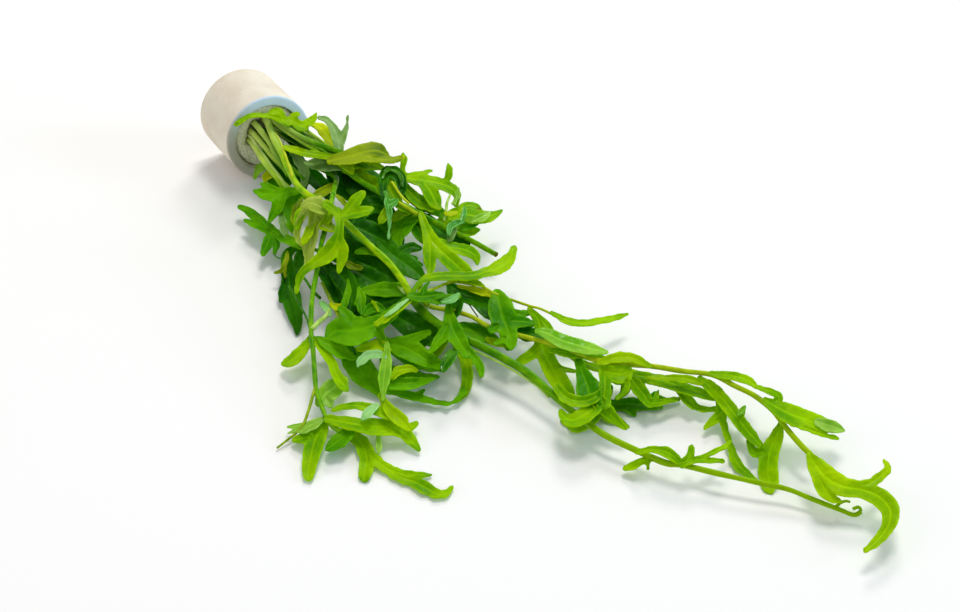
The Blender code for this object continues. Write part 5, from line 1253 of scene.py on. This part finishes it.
def largest_patch(points, triangles):
    """Only the triangles that hang together with most others, and the points they use."""
    group = np.arange(len(points))
    while True:
        least = group[triangles].min(axis=1)
        renewed = group.copy()
        for column in range(3):
            np.minimum.at(renewed, triangles[:, column], least)
        renewed = renewed[renewed]
        if (renewed == group).all():
            break
        group = renewed
    owners = group[triangles[:, 0]]
    values, counts = np.unique(owners, return_counts=True)
    triangles = triangles[owners == values[np.argmax(counts)]]
    used, renumbered = np.unique(triangles, return_inverse=True)
    return points[used], renumbered.reshape(-1, 3)


def neighbours(triangles):
    """Both directions of every edge, once each, as two columns."""
    pairs = np.vstack([triangles[:, [0, 1]], triangles[:, [1, 2]], triangles[:, [2, 0]]])
    return np.unique(np.vstack([pairs, pairs[:, ::-1]]), axis=0)


def filled(values, known, edges):
    """Values carried from the known points to the others, neighbour by neighbour."""
    count = len(values)
    while not known.all():
        weight = np.bincount(edges[:, 0], weights=known[edges[:, 1]], minlength=count)
        total = np.bincount(edges[:, 0], weights=(values * known)[edges[:, 1]], minlength=count)
        fresh = ~known & (weight > 0)
        if not fresh.any():
            break
        values[fresh] = total[fresh] / weight[fresh]
        known = known | fresh
    return values


def smoothed(values, edges, rounds):
    """Values evened out with their neighbours' this many times."""
    weight = np.bincount(edges[:, 0], minlength=len(values))
    for _ in range(rounds):
        total = np.bincount(edges[:, 0], weights=values[edges[:, 1]], minlength=len(values))
        values = (values + total / np.maximum(weight, 1)) / 2
    return values


def node_tree_in_ring_frame(node):
    """A frame node's surface, in millimetres in the ring's frame, for casting lines at."""
    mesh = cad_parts[node].data
    places = np.zeros(len(mesh.vertices) * 3)
    mesh.vertices.foreach_get("co", places)
    places = (places.reshape(-1, 3) - RING_PLACE) / MM
    faces = [tuple(face.vertices) for face in mesh.polygons]
    return BVHTree.FromPolygons([Vector(place) for place in places], faces)


def node_heights(node, pixels, edges):
    """Heights of the middle of a frame node's blade at these pixels, evened out."""
    tree = node_tree_in_ring_frame(node)
    start = Vector(VIEW_FROM)
    heights = np.zeros(len(pixels))
    known = np.zeros(len(pixels), dtype=bool)
    for i, line in enumerate(sight_lines(pixels)):
        direction = Vector(line).normalized()
        place, normal, _, _ = tree.ray_cast(start, direction)
        if place is not None:
            inward = FRAME_BLADE / 2 / max(abs(normal.dot(direction)), LEAST_FACING)
            heights[i] = place.z + inward * direction.z
            known[i] = True
    return smoothed(filled(heights, known, edges), edges, NODE_ROUNDS)


def add_object(name, data):
    """A new object in the scene."""
    made = bpy.data.objects.new(name, data)
    bpy.context.scene.collection.objects.link(made)
    return made


def add_piece(name, points, faces, finish, uvs=None):
    """A mesh piece from points in millimetres in the ring's frame, riding on the root body."""
    mesh = bpy.data.meshes.new(name)
    places = [tuple(place) for place in in_frame(points)]
    mesh.from_pydata(places, [], [tuple(int(k) for k in face) for face in faces])
    mesh.validate()
    mesh.shade_smooth()
    if uvs is not None:
        layer = mesh.uv_layers.new(name="blade")
        corners = np.zeros(len(mesh.loops), dtype=int)
        mesh.loops.foreach_get("vertex_index", corners)
        layer.data.foreach_set("uv", uvs[corners].astype(np.float32).ravel())
    mesh.materials.append(finish)
    piece = add_object(name, mesh)
    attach(piece, "root")
    return piece


def add_leaf(name, leaf, finishes):
    """A leaf on its frame node, or at its own heights if it has no node."""
    on_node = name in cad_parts
    blade = Blade(name, leaf["fingers"])
    pixels, triangles = clipped_blade(blade)
    edges = neighbours(triangles)
    if on_node:
        heights = node_heights(name, pixels, edges)
    else:
        heights = blade.traced_heights(pixels, leaf.get("lean", USUAL_LEAN), leaf.get("fold", USUAL_FOLD))
        heights = smoothed(heights, edges, TRACED_ROUNDS)
    relief, share, way = blade.relief(pixels)
    places = photo_points(pixels, np.maximum(heights + relief, LOWEST_BLADE))
    uvs = np.stack([0.5 + 0.5 * share, way / UV_LENGTH], axis=1)
    piece = add_piece(f"{name}_blade", places, triangles, finishes[leaf["tone"]], uvs)
    if on_node:
        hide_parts(name)
    shell = piece.modifiers.new("thickness", "SOLIDIFY")
    shell.thickness = BLADE * MM
    shell.offset = 0.0


def band(first, second, sides):
    """Faces between two rounds of points, which start at these two points."""
    for k in range(sides):
        after = (k + 1) % sides
        yield first + k, second + k, second + after, first + after


def fan(middle, first, sides, turned_back=False):
    """Faces from a middle point to the round of points that starts at first."""
    for k in range(sides):
        here, after = first + k, first + (k + 1) % sides
        yield (middle, after, here) if turned_back else (middle, here, after)


def tube(path, radii):
    """Points and faces of a closed, faintly ridged tube along a path, with its ends rounded over."""
    along = np.gradient(path, axis=0)
    along /= np.linalg.norm(along, axis=1)[:, None]
    across = np.zeros_like(path)
    across[0] = np.cross(along[0], [0.0, 0.0, 1.0])
    for i in range(1, len(path)):
        across[i] = across[i - 1] - along[i] * (across[i - 1] @ along[i])
        across[i] /= np.linalg.norm(across[i])
    across[0] /= np.linalg.norm(across[0])
    above = np.cross(across, along)
    turns = np.arange(STEM_SIDES) * (2 * math.pi / STEM_SIDES)
    ridged = 1.0 + RIDGE_HEIGHT * np.cos(RIDGES * turns)
    circle = (across[:, None, :] * np.cos(turns)[None, :, None]
              + above[:, None, :] * np.sin(turns)[None, :, None])
    points = path[:, None, :] + circle * (radii[:, None] * ridged[None, :])[:, :, None]
    points = points.reshape(-1, 3)
    middles = np.array([path[0] - along[0] * radii[0] * TUBE_END,
                        path[-1] + along[-1] * radii[-1] * TUBE_END])
    last_round = (len(path) - 1) * STEM_SIDES
    faces = []
    for start in range(0, last_round, STEM_SIDES):
        faces += band(start, start + STEM_SIDES, STEM_SIDES)
    faces += fan(len(points), 0, STEM_SIDES)
    faces += fan(len(points) + 1, last_round, STEM_SIDES, turned_back=True)
    return np.vstack([points, middles]), faces


def stem_places(stem):
    """Places along a stem's middle, from inside the plug if it is rooted there."""
    route = np.array(stem["route"], dtype=float)
    places = photo_points(route[:, :2], route[:, 2])
    if "root" not in stem:
        return smooth_route(places, STEM_STEP, measured=3)
    mouth = photo_point_at_x(stem["root"], PLUG_FACE)
    inside = mouth - np.array([STEM_IN_PLUG, 0.0, 0.0])
    outside = mouth + np.array([STEM_STUB, 0.0, 0.0])
    return smooth_route(np.vstack([inside, mouth, outside, places]), STEM_STEP, measured=3)


def add_stem(name, stem, finishes):
    """A stem in place of its frame node, or a thin stalk of the scene's own."""
    path = stem_places(stem)
    way = way_along(path)
    first, last = stem["size"]
    radii = (first + (last - first) * way / way[-1]) / 2
    radii = radii * (1.0 + ripples(np.stack([way, way * 0.3], axis=1), STEM_RIPPLES, seed_of(name)))
    points, faces = tube(path, radii)
    uvs = np.zeros((len(points), 2))
    uvs[:-2, 0] = np.tile(np.arange(STEM_SIDES) / STEM_SIDES, len(path))
    uvs[:-2, 1] = np.repeat(way / way[-1], STEM_SIDES)
    finish = finishes[stem.get("tone", "stem")]
    piece = add_piece(f"{name}_stalk", points, faces, finish, uvs)
    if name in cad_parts:
        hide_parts(name)


def turns_of(sides):
    """The turns of a round of points about the ring's axis."""
    return [2 * math.pi * k / sides for k in range(sides)]


def round_place(x, radius, turn):
    """A place at this turn about the ring's axis."""
    return x, radius * math.sin(turn), RING_AXIS_HEIGHT + radius * math.cos(turn)


def rounded_corner(x, radius, start):
    """A quarter circle of the ring's profile round this centre, from a start angle onwards."""
    angles = start + np.linspace(0, math.pi / 2, CORNER_POINTS)
    return [(x + RING_ROUNDING * math.cos(a), radius + RING_ROUNDING * math.sin(a)) for a in angles]


def between(a, b, count):
    """Points of a profile between two of its points, without them."""
    shares = np.linspace(0, 1, count + 2)[1:-1]
    return [(a[0] + (b[0] - a[0]) * s, a[1] + (b[1] - a[1]) * s) for s in shares]


def worn_place(x, radius, turn):
    """A place of the ring's surface, a little uneven and never outside its profile."""
    place = Vector((x, radius * math.sin(turn), radius * math.cos(turn)))
    uneven = sum(height * noise.noise(place * fineness) for height, fineness in RING_SWELLS)
    grain = RING_GRAIN[0] * noise.noise(place * RING_GRAIN[1])
    outward = 1.0 if radius > (RING_OUTER + RING_BORE) / 4 else -1.0
    at_front = x > -RING_ROUNDING
    facing = uneven if at_front or x < RING_ROUNDING - RING_LENGTH else 0.0
    lower = min(0.0, uneven + grain) - RING_WEAR
    inward = -1 if at_front else 1
    return round_place(x + inward * abs(facing) * FACE_SHARE, radius + outward * lower, turn)


def add_ring(finish):
    """The ceramic ring, its edges worn round and its faces a little uneven."""
    worn = RING_ROUNDING
    front, back = -worn, worn - RING_LENGTH
    outer, bore = RING_OUTER / 2 - RING_SLACK - worn, RING_BORE / 2 + worn
    corners = [rounded_corner(x, radius, quarter * math.pi / 2)
               for quarter, (x, radius) in enumerate([(front, outer), (back, outer), (back, bore),
                                                      (front, bore)])]
    profile = []
    for corner, onward, count in zip(corners, corners[1:] + corners[:1], RING_RUNS):
        profile += corner + between(corner[-1], onward[0], count)
    points = np.array([worn_place(x, radius, turn)
                       for x, radius in profile for turn in turns_of(RING_SIDES)])
    points[:, 2] = np.maximum(points[:, 2], LOWEST_RING)
    faces = []
    for i in range(len(profile)):
        faces += band(i * RING_SIDES, (i + 1) % len(profile) * RING_SIDES, RING_SIDES)
    piece = add_piece("ceramic_ring_body", points, faces, finish)
    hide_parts("ceramic_ring")


def add_plug(finish, roots):
    """The fibre plug, its face crumbly and sunk round the stems."""
    radius = PLUG_DIAMETER / 2
    turns = turns_of(PLUG_SIDES)

    def face_x(y, z):
        """Where the plug's face is at this place across the ring's axis."""
        place = Vector((0.0, y, z))
        crumbs = sum(height * noise.noise(place * fineness) for height, fineness in PLUG_CRUMBS)
        sunk = sum(math.exp(-((y - root[1]) ** 2 + (z - root[2] + RING_AXIS_HEIGHT) ** 2) / CRACK_SPREAD)
                   for root in roots)
        rim = max(0.0, math.hypot(y, z) - (radius - PLUG_RIM)) * PLUG_RIM_SLOPE
        return PLUG_FACE - PLUG_SUNK + crumbs - min(sunk, 1.0) * CRACK_DEPTH - rim

    points = [(face_x(0, 0), 0.0, RING_AXIS_HEIGHT)]
    for i in range(1, PLUG_RINGS + 1):
        reach = radius * i / PLUG_RINGS
        points += [round_place(face_x(reach * math.sin(turn), reach * math.cos(turn)), reach, turn)
                   for turn in turns]
    back = len(points)
    points += [round_place(PLUG_BACK, radius, turn) for turn in turns]
    points.append((PLUG_BACK, 0.0, RING_AXIS_HEIGHT))
    faces = list(fan(0, 1, PLUG_SIDES))
    for start in range(1, back, PLUG_SIDES):
        faces += band(start, start + PLUG_SIDES, PLUG_SIDES)
    faces += fan(len(points) - 1, back, PLUG_SIDES, turned_back=True)
    piece = add_piece("plug_fibre", np.array(points), faces, finish)
    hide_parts("plug")


def add_node(tree, kind, settings=None, inputs=None):
    """A shader node with these settings and inputs. An input that is a socket is linked."""
    made = tree.nodes.new(kind)
    for name, value in (settings or {}).items():
        setattr(made, name, value)
    for name, value in (inputs or {}).items():
        socket = made.inputs[name]
        if isinstance(value, bpy.types.NodeSocket):
            tree.links.new(value, socket)
        elif socket.type == "RGBA":
            socket.default_value = (*value, 1.0)
        else:
            socket.default_value = value
    return made


def split(tree, place):
    """A place's X, Y and Z."""
    return add_node(tree, "ShaderNodeSeparateXYZ", None, {"Vector": place}).outputs


def noise_value(tree, place, scale, detail=2.0, roughness=0.5):
    """A noise's value at a place, with this many waves a metre."""
    made = add_node(tree, "ShaderNodeTexNoise", {"noise_dimensions": "3D"},
                    {"Vector": place, "Scale": scale, "Detail": detail, "Roughness": roughness})
    return made.outputs["Fac"]


def cell_value(tree, place, scale):
    """How far a place is from the middle of its cell, with this many cells a metre."""
    made = add_node(tree, "ShaderNodeTexVoronoi", {"feature": "F1"}, {"Vector": place, "Scale": scale})
    return made.outputs["Distance"]


def ranged(tree, value, low, high, to_low=0.0, to_high=1.0):
    """A value taken from one range to another, and kept inside it."""
    made = add_node(tree, "ShaderNodeMapRange", {"clamp": True}, {
        "Value": value, "From Min": low, "From Max": high, "To Min": to_low, "To Max": to_high,
    })
    return made.outputs["Result"]


def reckoned(tree, operation, a, b=0.0):
    """One sum with one or two values."""
    return add_node(tree, "ShaderNodeMath", {"operation": operation}, {0: a, 1: b}).outputs["Value"]


def mixed(tree, share, a, b):
    """Colour a with a share of colour b."""
    inputs = dict(zip(MIX_SOCKETS, (share, a, b)))
    return add_node(tree, "ShaderNodeMix", {"data_type": "RGBA"}, inputs).outputs[MIX_RESULT]


def laid_over(tree, mask, share, a, b):
    """Colour a with a share of colour b where the mask is 1."""
    return mixed(tree, reckoned(tree, "MULTIPLY", mask, share), a, b)


def new_material(name):
    """A material without nodes but its output, with its tree and the places it colours."""
    made = bpy.data.materials.new(name)
    made.use_nodes = True
    tree = made.node_tree
    tree.nodes.clear()
    place = tree.nodes.new("ShaderNodeTexCoord").outputs["Object"]
    out = tree.nodes.new("ShaderNodeOutputMaterial")
    return made, tree, place, out


def bumped(tree, height, distance, strength):
    """The surface's direction with this height raised on it."""
    made = add_node(tree, "ShaderNodeBump", None,
                    {"Height": height, "Distance": distance, "Strength": strength})
    return made.outputs["Normal"]


def surface(tree, out, inputs):
    """Makes a surface with these inputs the material's own."""
    body = add_node(tree, "ShaderNodeBsdfPrincipled", None, inputs)
    tree.links.new(body.outputs[0], out.inputs["Surface"])


def blade_lines(tree):
    """Where a blade's middle vein, side veins and rim run, each from 0 to 1."""
    blade = add_node(tree, "ShaderNodeUVMap", {"uv_map": "blade"})
    parts = split(tree, blade.outputs["UV"])
    across = reckoned(tree, "ABSOLUTE", reckoned(tree, "SUBTRACT", parts["X"], 0.5))
    middle = ranged(tree, across, 0.03, 0.10, 1.0, 0.0)
    slanted = reckoned(tree, "SUBTRACT", reckoned(tree, "MULTIPLY", parts["Y"], SIDE_VEINS),
                       reckoned(tree, "MULTIPLY", across, SIDE_VEIN_SLANT))
    side = ranged(tree, reckoned(tree, "SINE", slanted), 0.86, 1.0)
    rim = ranged(tree, across, 0.38, 0.49)
    return middle, side, rim


def browned(tree, place, colour):
    """The colour, turned brown near the brown tips and cuts."""
    for x, y, height, reach in BROWN_MARKS:
        spot = tuple(in_frame(photo_points([(x, y)], [height]))[0])
        away = add_node(tree, "ShaderNodeVectorMath", {"operation": "DISTANCE"}, {0: place, 1: spot})
        near = ranged(tree, away.outputs["Value"], 0.4 * reach * MM, reach * MM, 0.85, 0.0)
        colour = mixed(tree, near, colour, BROWN)
    return colour


def leaf_finish(name, tone):
    """A wet leaf: mottled green with paler veins, a paler rim painted as edge light, and light shining
    through it.
    """
    made, tree, place, out = new_material(f"leaf_{name}")
    middle, side, rim = blade_lines(tree)
    broad = ranged(tree, noise_value(tree, place, 75.0, 3.0), 0.40, 0.60)
    fine = noise_value(tree, place, 520.0, 3.0, 0.6)
    green = mixed(tree, broad, tone["dark"], tone["light"])
    green = mixed(tree, ranged(tree, fine, 0.3, 0.72, 0.0, 0.30), green, tone["dark"])
    vein = tuple(min(1.0, channel * VEIN_LIGHTER) for channel in tone["light"])
    # Veins are paler; the paler band along the rim is painted edge light
    for mask, share in ((middle, 0.45), (side, 0.14), (rim, 0.50)):
        green = laid_over(tree, mask, share, green, vein)
    green = browned(tree, place, green)
    shine = mixed(tree, ranged(tree, fine, 0.35, 0.7, 0.10, 0.40), tone["glow"], green)
    shine = laid_over(tree, middle, 0.4, shine, vein)
    height = reckoned(tree, "ADD", reckoned(tree, "MULTIPLY", fine, 0.4),
                      reckoned(tree, "MULTIPLY", middle, -0.3))
    normal = bumped(tree, height, 0.0004, 0.35)
    rough = ranged(tree, noise_value(tree, place, 210.0), 0.35, 0.65, tone["rough"] - 0.08,
                   tone["rough"] + 0.14)
    body = add_node(tree, "ShaderNodeBsdfPrincipled", None, {
        "Base Color": green, "Roughness": rough, "Normal": normal,
        "Specular IOR Level": 0.05, "Specular Tint": (0.75, 1.0, 0.30), "IOR": 1.40,
        "Coat Weight": tone["wet"], "Coat Roughness": 0.10, "Coat IOR": WATER_IOR,
    })
    glow = add_node(tree, "ShaderNodeBsdfTranslucent", None, {"Color": shine, "Normal": normal})
    both = add_node(tree, "ShaderNodeMixShader", None,
                    {0: tone["through"], 1: body.outputs[0], 2: glow.outputs[0]})
    tree.links.new(both.outputs[0], out.inputs["Surface"])
    return made


def stem_finish(name, dark, light, foot):
    """A stem: green streaks along it, paler towards the plug and yellower far from it."""
    made, tree, place, out = new_material(f"{name}_green")
    stretched = add_node(tree, "ShaderNodeMapping", None, {"Vector": place, "Scale": STREAKS})
    streaks = ranged(tree, noise_value(tree, stretched.outputs["Vector"], 700.0, 3.0), 0.34, 0.66)
    broad = ranged(tree, noise_value(tree, place, 60.0), 0.35, 0.65)
    green = mixed(tree, streaks, dark, light)
    green = laid_over(tree, broad, 0.45, green, dark)
    along = split(tree, place)["X"]
    start = float(RING_HIGH.x)
    green = mixed(tree, ranged(tree, along, start, start + FOOT_REACH * MM, 0.85, 0.0), green, foot)
    ripe_from, ripe_to = (start + reach * MM for reach in RIPE_FROM_TO)
    green = mixed(tree, ranged(tree, along, ripe_from, ripe_to, 0.0, 0.75), green, RIPE_STEM)
    green = browned(tree, place, green)
    surface(tree, out, {
        "Base Color": green, "Roughness": ranged(tree, broad, 0.0, 1.0, 0.26, 0.42),
        "Normal": bumped(tree, streaks, 0.0002, 0.5),
        "Specular IOR Level": 0.05, "Specular Tint": (0.85, 1.0, 0.40),
        "Coat Weight": 0.02, "Coat Roughness": 0.12, "Coat IOR": WATER_IOR,
        "Subsurface Weight": 0.15, "Subsurface Radius": (0.6, 1.0, 0.1), "Subsurface Scale": 0.001,
    })
    return made


def ceramic_finish():
    """Unglazed cast ceramic: cream, cloudy, with fine pits and a few dark specks. Its front face
    has painted shade, warm and dull, low on one side and painted bluish sky light high on the other."""
    made, tree, place, out = new_material("ceramic_cream")
    cloudy = ranged(tree, noise_value(tree, place, 90.0, 4.0), 0.35, 0.65)
    fine = noise_value(tree, place, 1600.0, 4.0, 0.65)
    cream = mixed(tree, cloudy, *CREAM)
    cream = mixed(tree, ranged(tree, fine, 0.55, 0.75, 0.0, 0.25), cream, CREAM_PIT)
    parts = split(tree, place)
    front = float(RING_HIGH.x)
    # On the front face: painted shade low and warm, and painted bluish sky light high up, set by place
    on_face = ranged(tree, parts["X"], front - 1.1 * MM, front - 0.3 * MM)
    across = ranged(tree, parts["Y"], float(RING_LOW.y), float(RING_HIGH.y), 0.0, 0.35)
    above = ranged(tree, parts["Z"], float(RING_LOW.z), float(RING_HIGH.z), 0.0, 0.65)
    painted_sky_light = ranged(tree, reckoned(tree, "ADD", across, above), 0.44, 0.78)
    cream = laid_over(tree, on_face, 0.9, cream, mixed(tree, painted_sky_light, *RING_FACE_SHADE_TO_SKY_LIGHT))
    speck = ranged(tree, cell_value(tree, place, 190.0), 0.05, 0.11, 0.7, 0.0)
    rare = ranged(tree, noise_value(tree, place, 130.0), 0.55, 0.6)
    cream = laid_over(tree, speck, rare, cream, SPECK)
    height = reckoned(tree, "SUBTRACT", fine, reckoned(tree, "MULTIPLY", speck, 0.6))
    surface(tree, out, {
        "Base Color": cream, "Roughness": ranged(tree, cloudy, 0.0, 1.0, 0.74, 0.9),
        "Normal": bumped(tree, height, 0.0003, 0.6), "Specular IOR Level": 0.3,
    })
    return made


def fibre_finish():
    """Matted mineral fibre: grey-beige crumbs with dark gaps between them, and painted shade down in the
    cracks.
    """
    made, tree, place, out = new_material("fibre_grey")
    gaps = ranged(tree, cell_value(tree, place, 1100.0), 0.25, 0.75)
    fine = noise_value(tree, place, 1500.0, 4.0, 0.7)
    broad = ranged(tree, noise_value(tree, place, 260.0), 0.35, 0.65)
    grey = mixed(tree, broad, *FIBRE)
    grey = laid_over(tree, gaps, 0.60, grey, FIBRE_GAP)
    grey = mixed(tree, ranged(tree, fine, 0.55, 0.75, 0.0, 0.8), grey, FIBRE_CRUMB)
    # Painted shade: the fibre is darker the deeper it lies in the crack round the stems
    face = float(RING_HIGH.x) + PLUG_FACE * MM
    deep, shallow = (face - share * CRACK_DEPTH * MM for share in CRACK_SHADE)
    grey = mixed(tree, ranged(tree, split(tree, place)["X"], deep, shallow, 0.9, 0.0), grey, CRACK_PAINTED_SHADE)
    surface(tree, out, {
        "Base Color": grey, "Roughness": ranged(tree, broad, 0.0, 1.0, 0.85, 1.0),
        "Normal": bumped(tree, reckoned(tree, "SUBTRACT", fine, gaps), 0.0005, 0.7),
        "Specular IOR Level": 0.2,
    })
    return made


def table_finish():
    """A matt white table top, faintly cloudy."""
    made, tree, place, out = new_material("table_white")
    cloudy = ranged(tree, noise_value(tree, place, 3.0), 0.35, 0.65)
    surface(tree, out, {
        "Base Color": mixed(tree, cloudy, *TABLE_WHITE),
        "Roughness": ranged(tree, cloudy, 0.0, 1.0, 0.6, 0.7), "Specular IOR Level": 0.15,
    })
    return made


def add_table():
    """A wide white table top, not part of the bunch."""
    half = TABLE_WIDTH / 2
    mesh = bpy.data.meshes.new("table_top")
    corners = [(-half, -half, 0), (half, -half, 0), (half, half, 0), (-half, half, 0)]
    mesh.from_pydata(corners, [], [(0, 1, 2, 3)])
    mesh.materials.append(table_finish())
    table = add_object("table_top", mesh)
    table.location = (0, 0, RING_PLACE[2] - TABLE_GAP)


def add_light(name, away, size, power, colour):
    """A square soft light this far (right, ahead, high) of the bunch's middle, in metres."""
    right, ahead, high = away
    flat_ahead = Vector((-math.cos(VIEW_TURN), math.sin(VIEW_TURN), 0.0))
    place = Vector(RIGHT) * right + flat_ahead * ahead + Vector((0, 0, high))
    data = bpy.data.lights.new(name, "AREA")
    data.shape = "SQUARE"
    data.size = size
    data.energy = power
    data.color = colour
    light = add_object(name, data)
    light.location = place
    light.rotation_mode = "QUATERNION"
    light.rotation_quaternion = (-place).to_track_quat("-Z", "Y")


def light_scene():
    """A white room and its soft lights."""
    world = bpy.data.worlds.new("white_room")
    bpy.context.scene.world = world
    world.use_nodes = True
    background = world.node_tree.nodes["Background"]
    background.inputs["Color"].default_value = (*ROOM_COLOUR, 1.0)
    background.inputs["Strength"].default_value = ROOM_STRENGTH
    for name, values in LIGHTS.items():
        add_light(name, *values)


def add_camera():
    """The camera where the photograph was taken from."""
    data = bpy.data.cameras.new("photo_view")
    data.sensor_width = SENSOR_WIDTH
    data.lens = LENS_IN_PIXELS / PHOTO_SIZE[0] * SENSOR_WIDTH
    data.clip_start, data.clip_end = CLIP
    camera = add_object("photo_view", data)
    turned_to = Matrix([RIGHT, UP, -FORWARD]).transposed().to_4x4()
    camera.matrix_world = Matrix.Translation(in_frame(VIEW_FROM)) @ turned_to
    bpy.context.scene.camera = camera


def build():
    """The camera, the whole bunch, the table and the lights."""
    add_camera()
    finishes = {name: leaf_finish(name, tone) for name, tone in TONES.items()}
    finishes.update({name: stem_finish(name, *tone) for name, tone in STEM_TONES.items()})
    for name, stem in {**STEMS, **THIN_STALKS}.items():
        add_stem(name, stem, finishes)
    for name, leaf in {**LEAVES, **SMALL_LEAVES}.items():
        add_leaf(name, leaf, finishes)
    add_ring(ceramic_finish())
    roots = [photo_point_at_x(stem["root"], PLUG_FACE) for stem in STEMS.values() if "root" in stem]
    add_plug(fibre_finish(), roots)
    add_table()
    light_scene()
    bpy.context.scene.view_settings.view_transform = "Standard"


build()
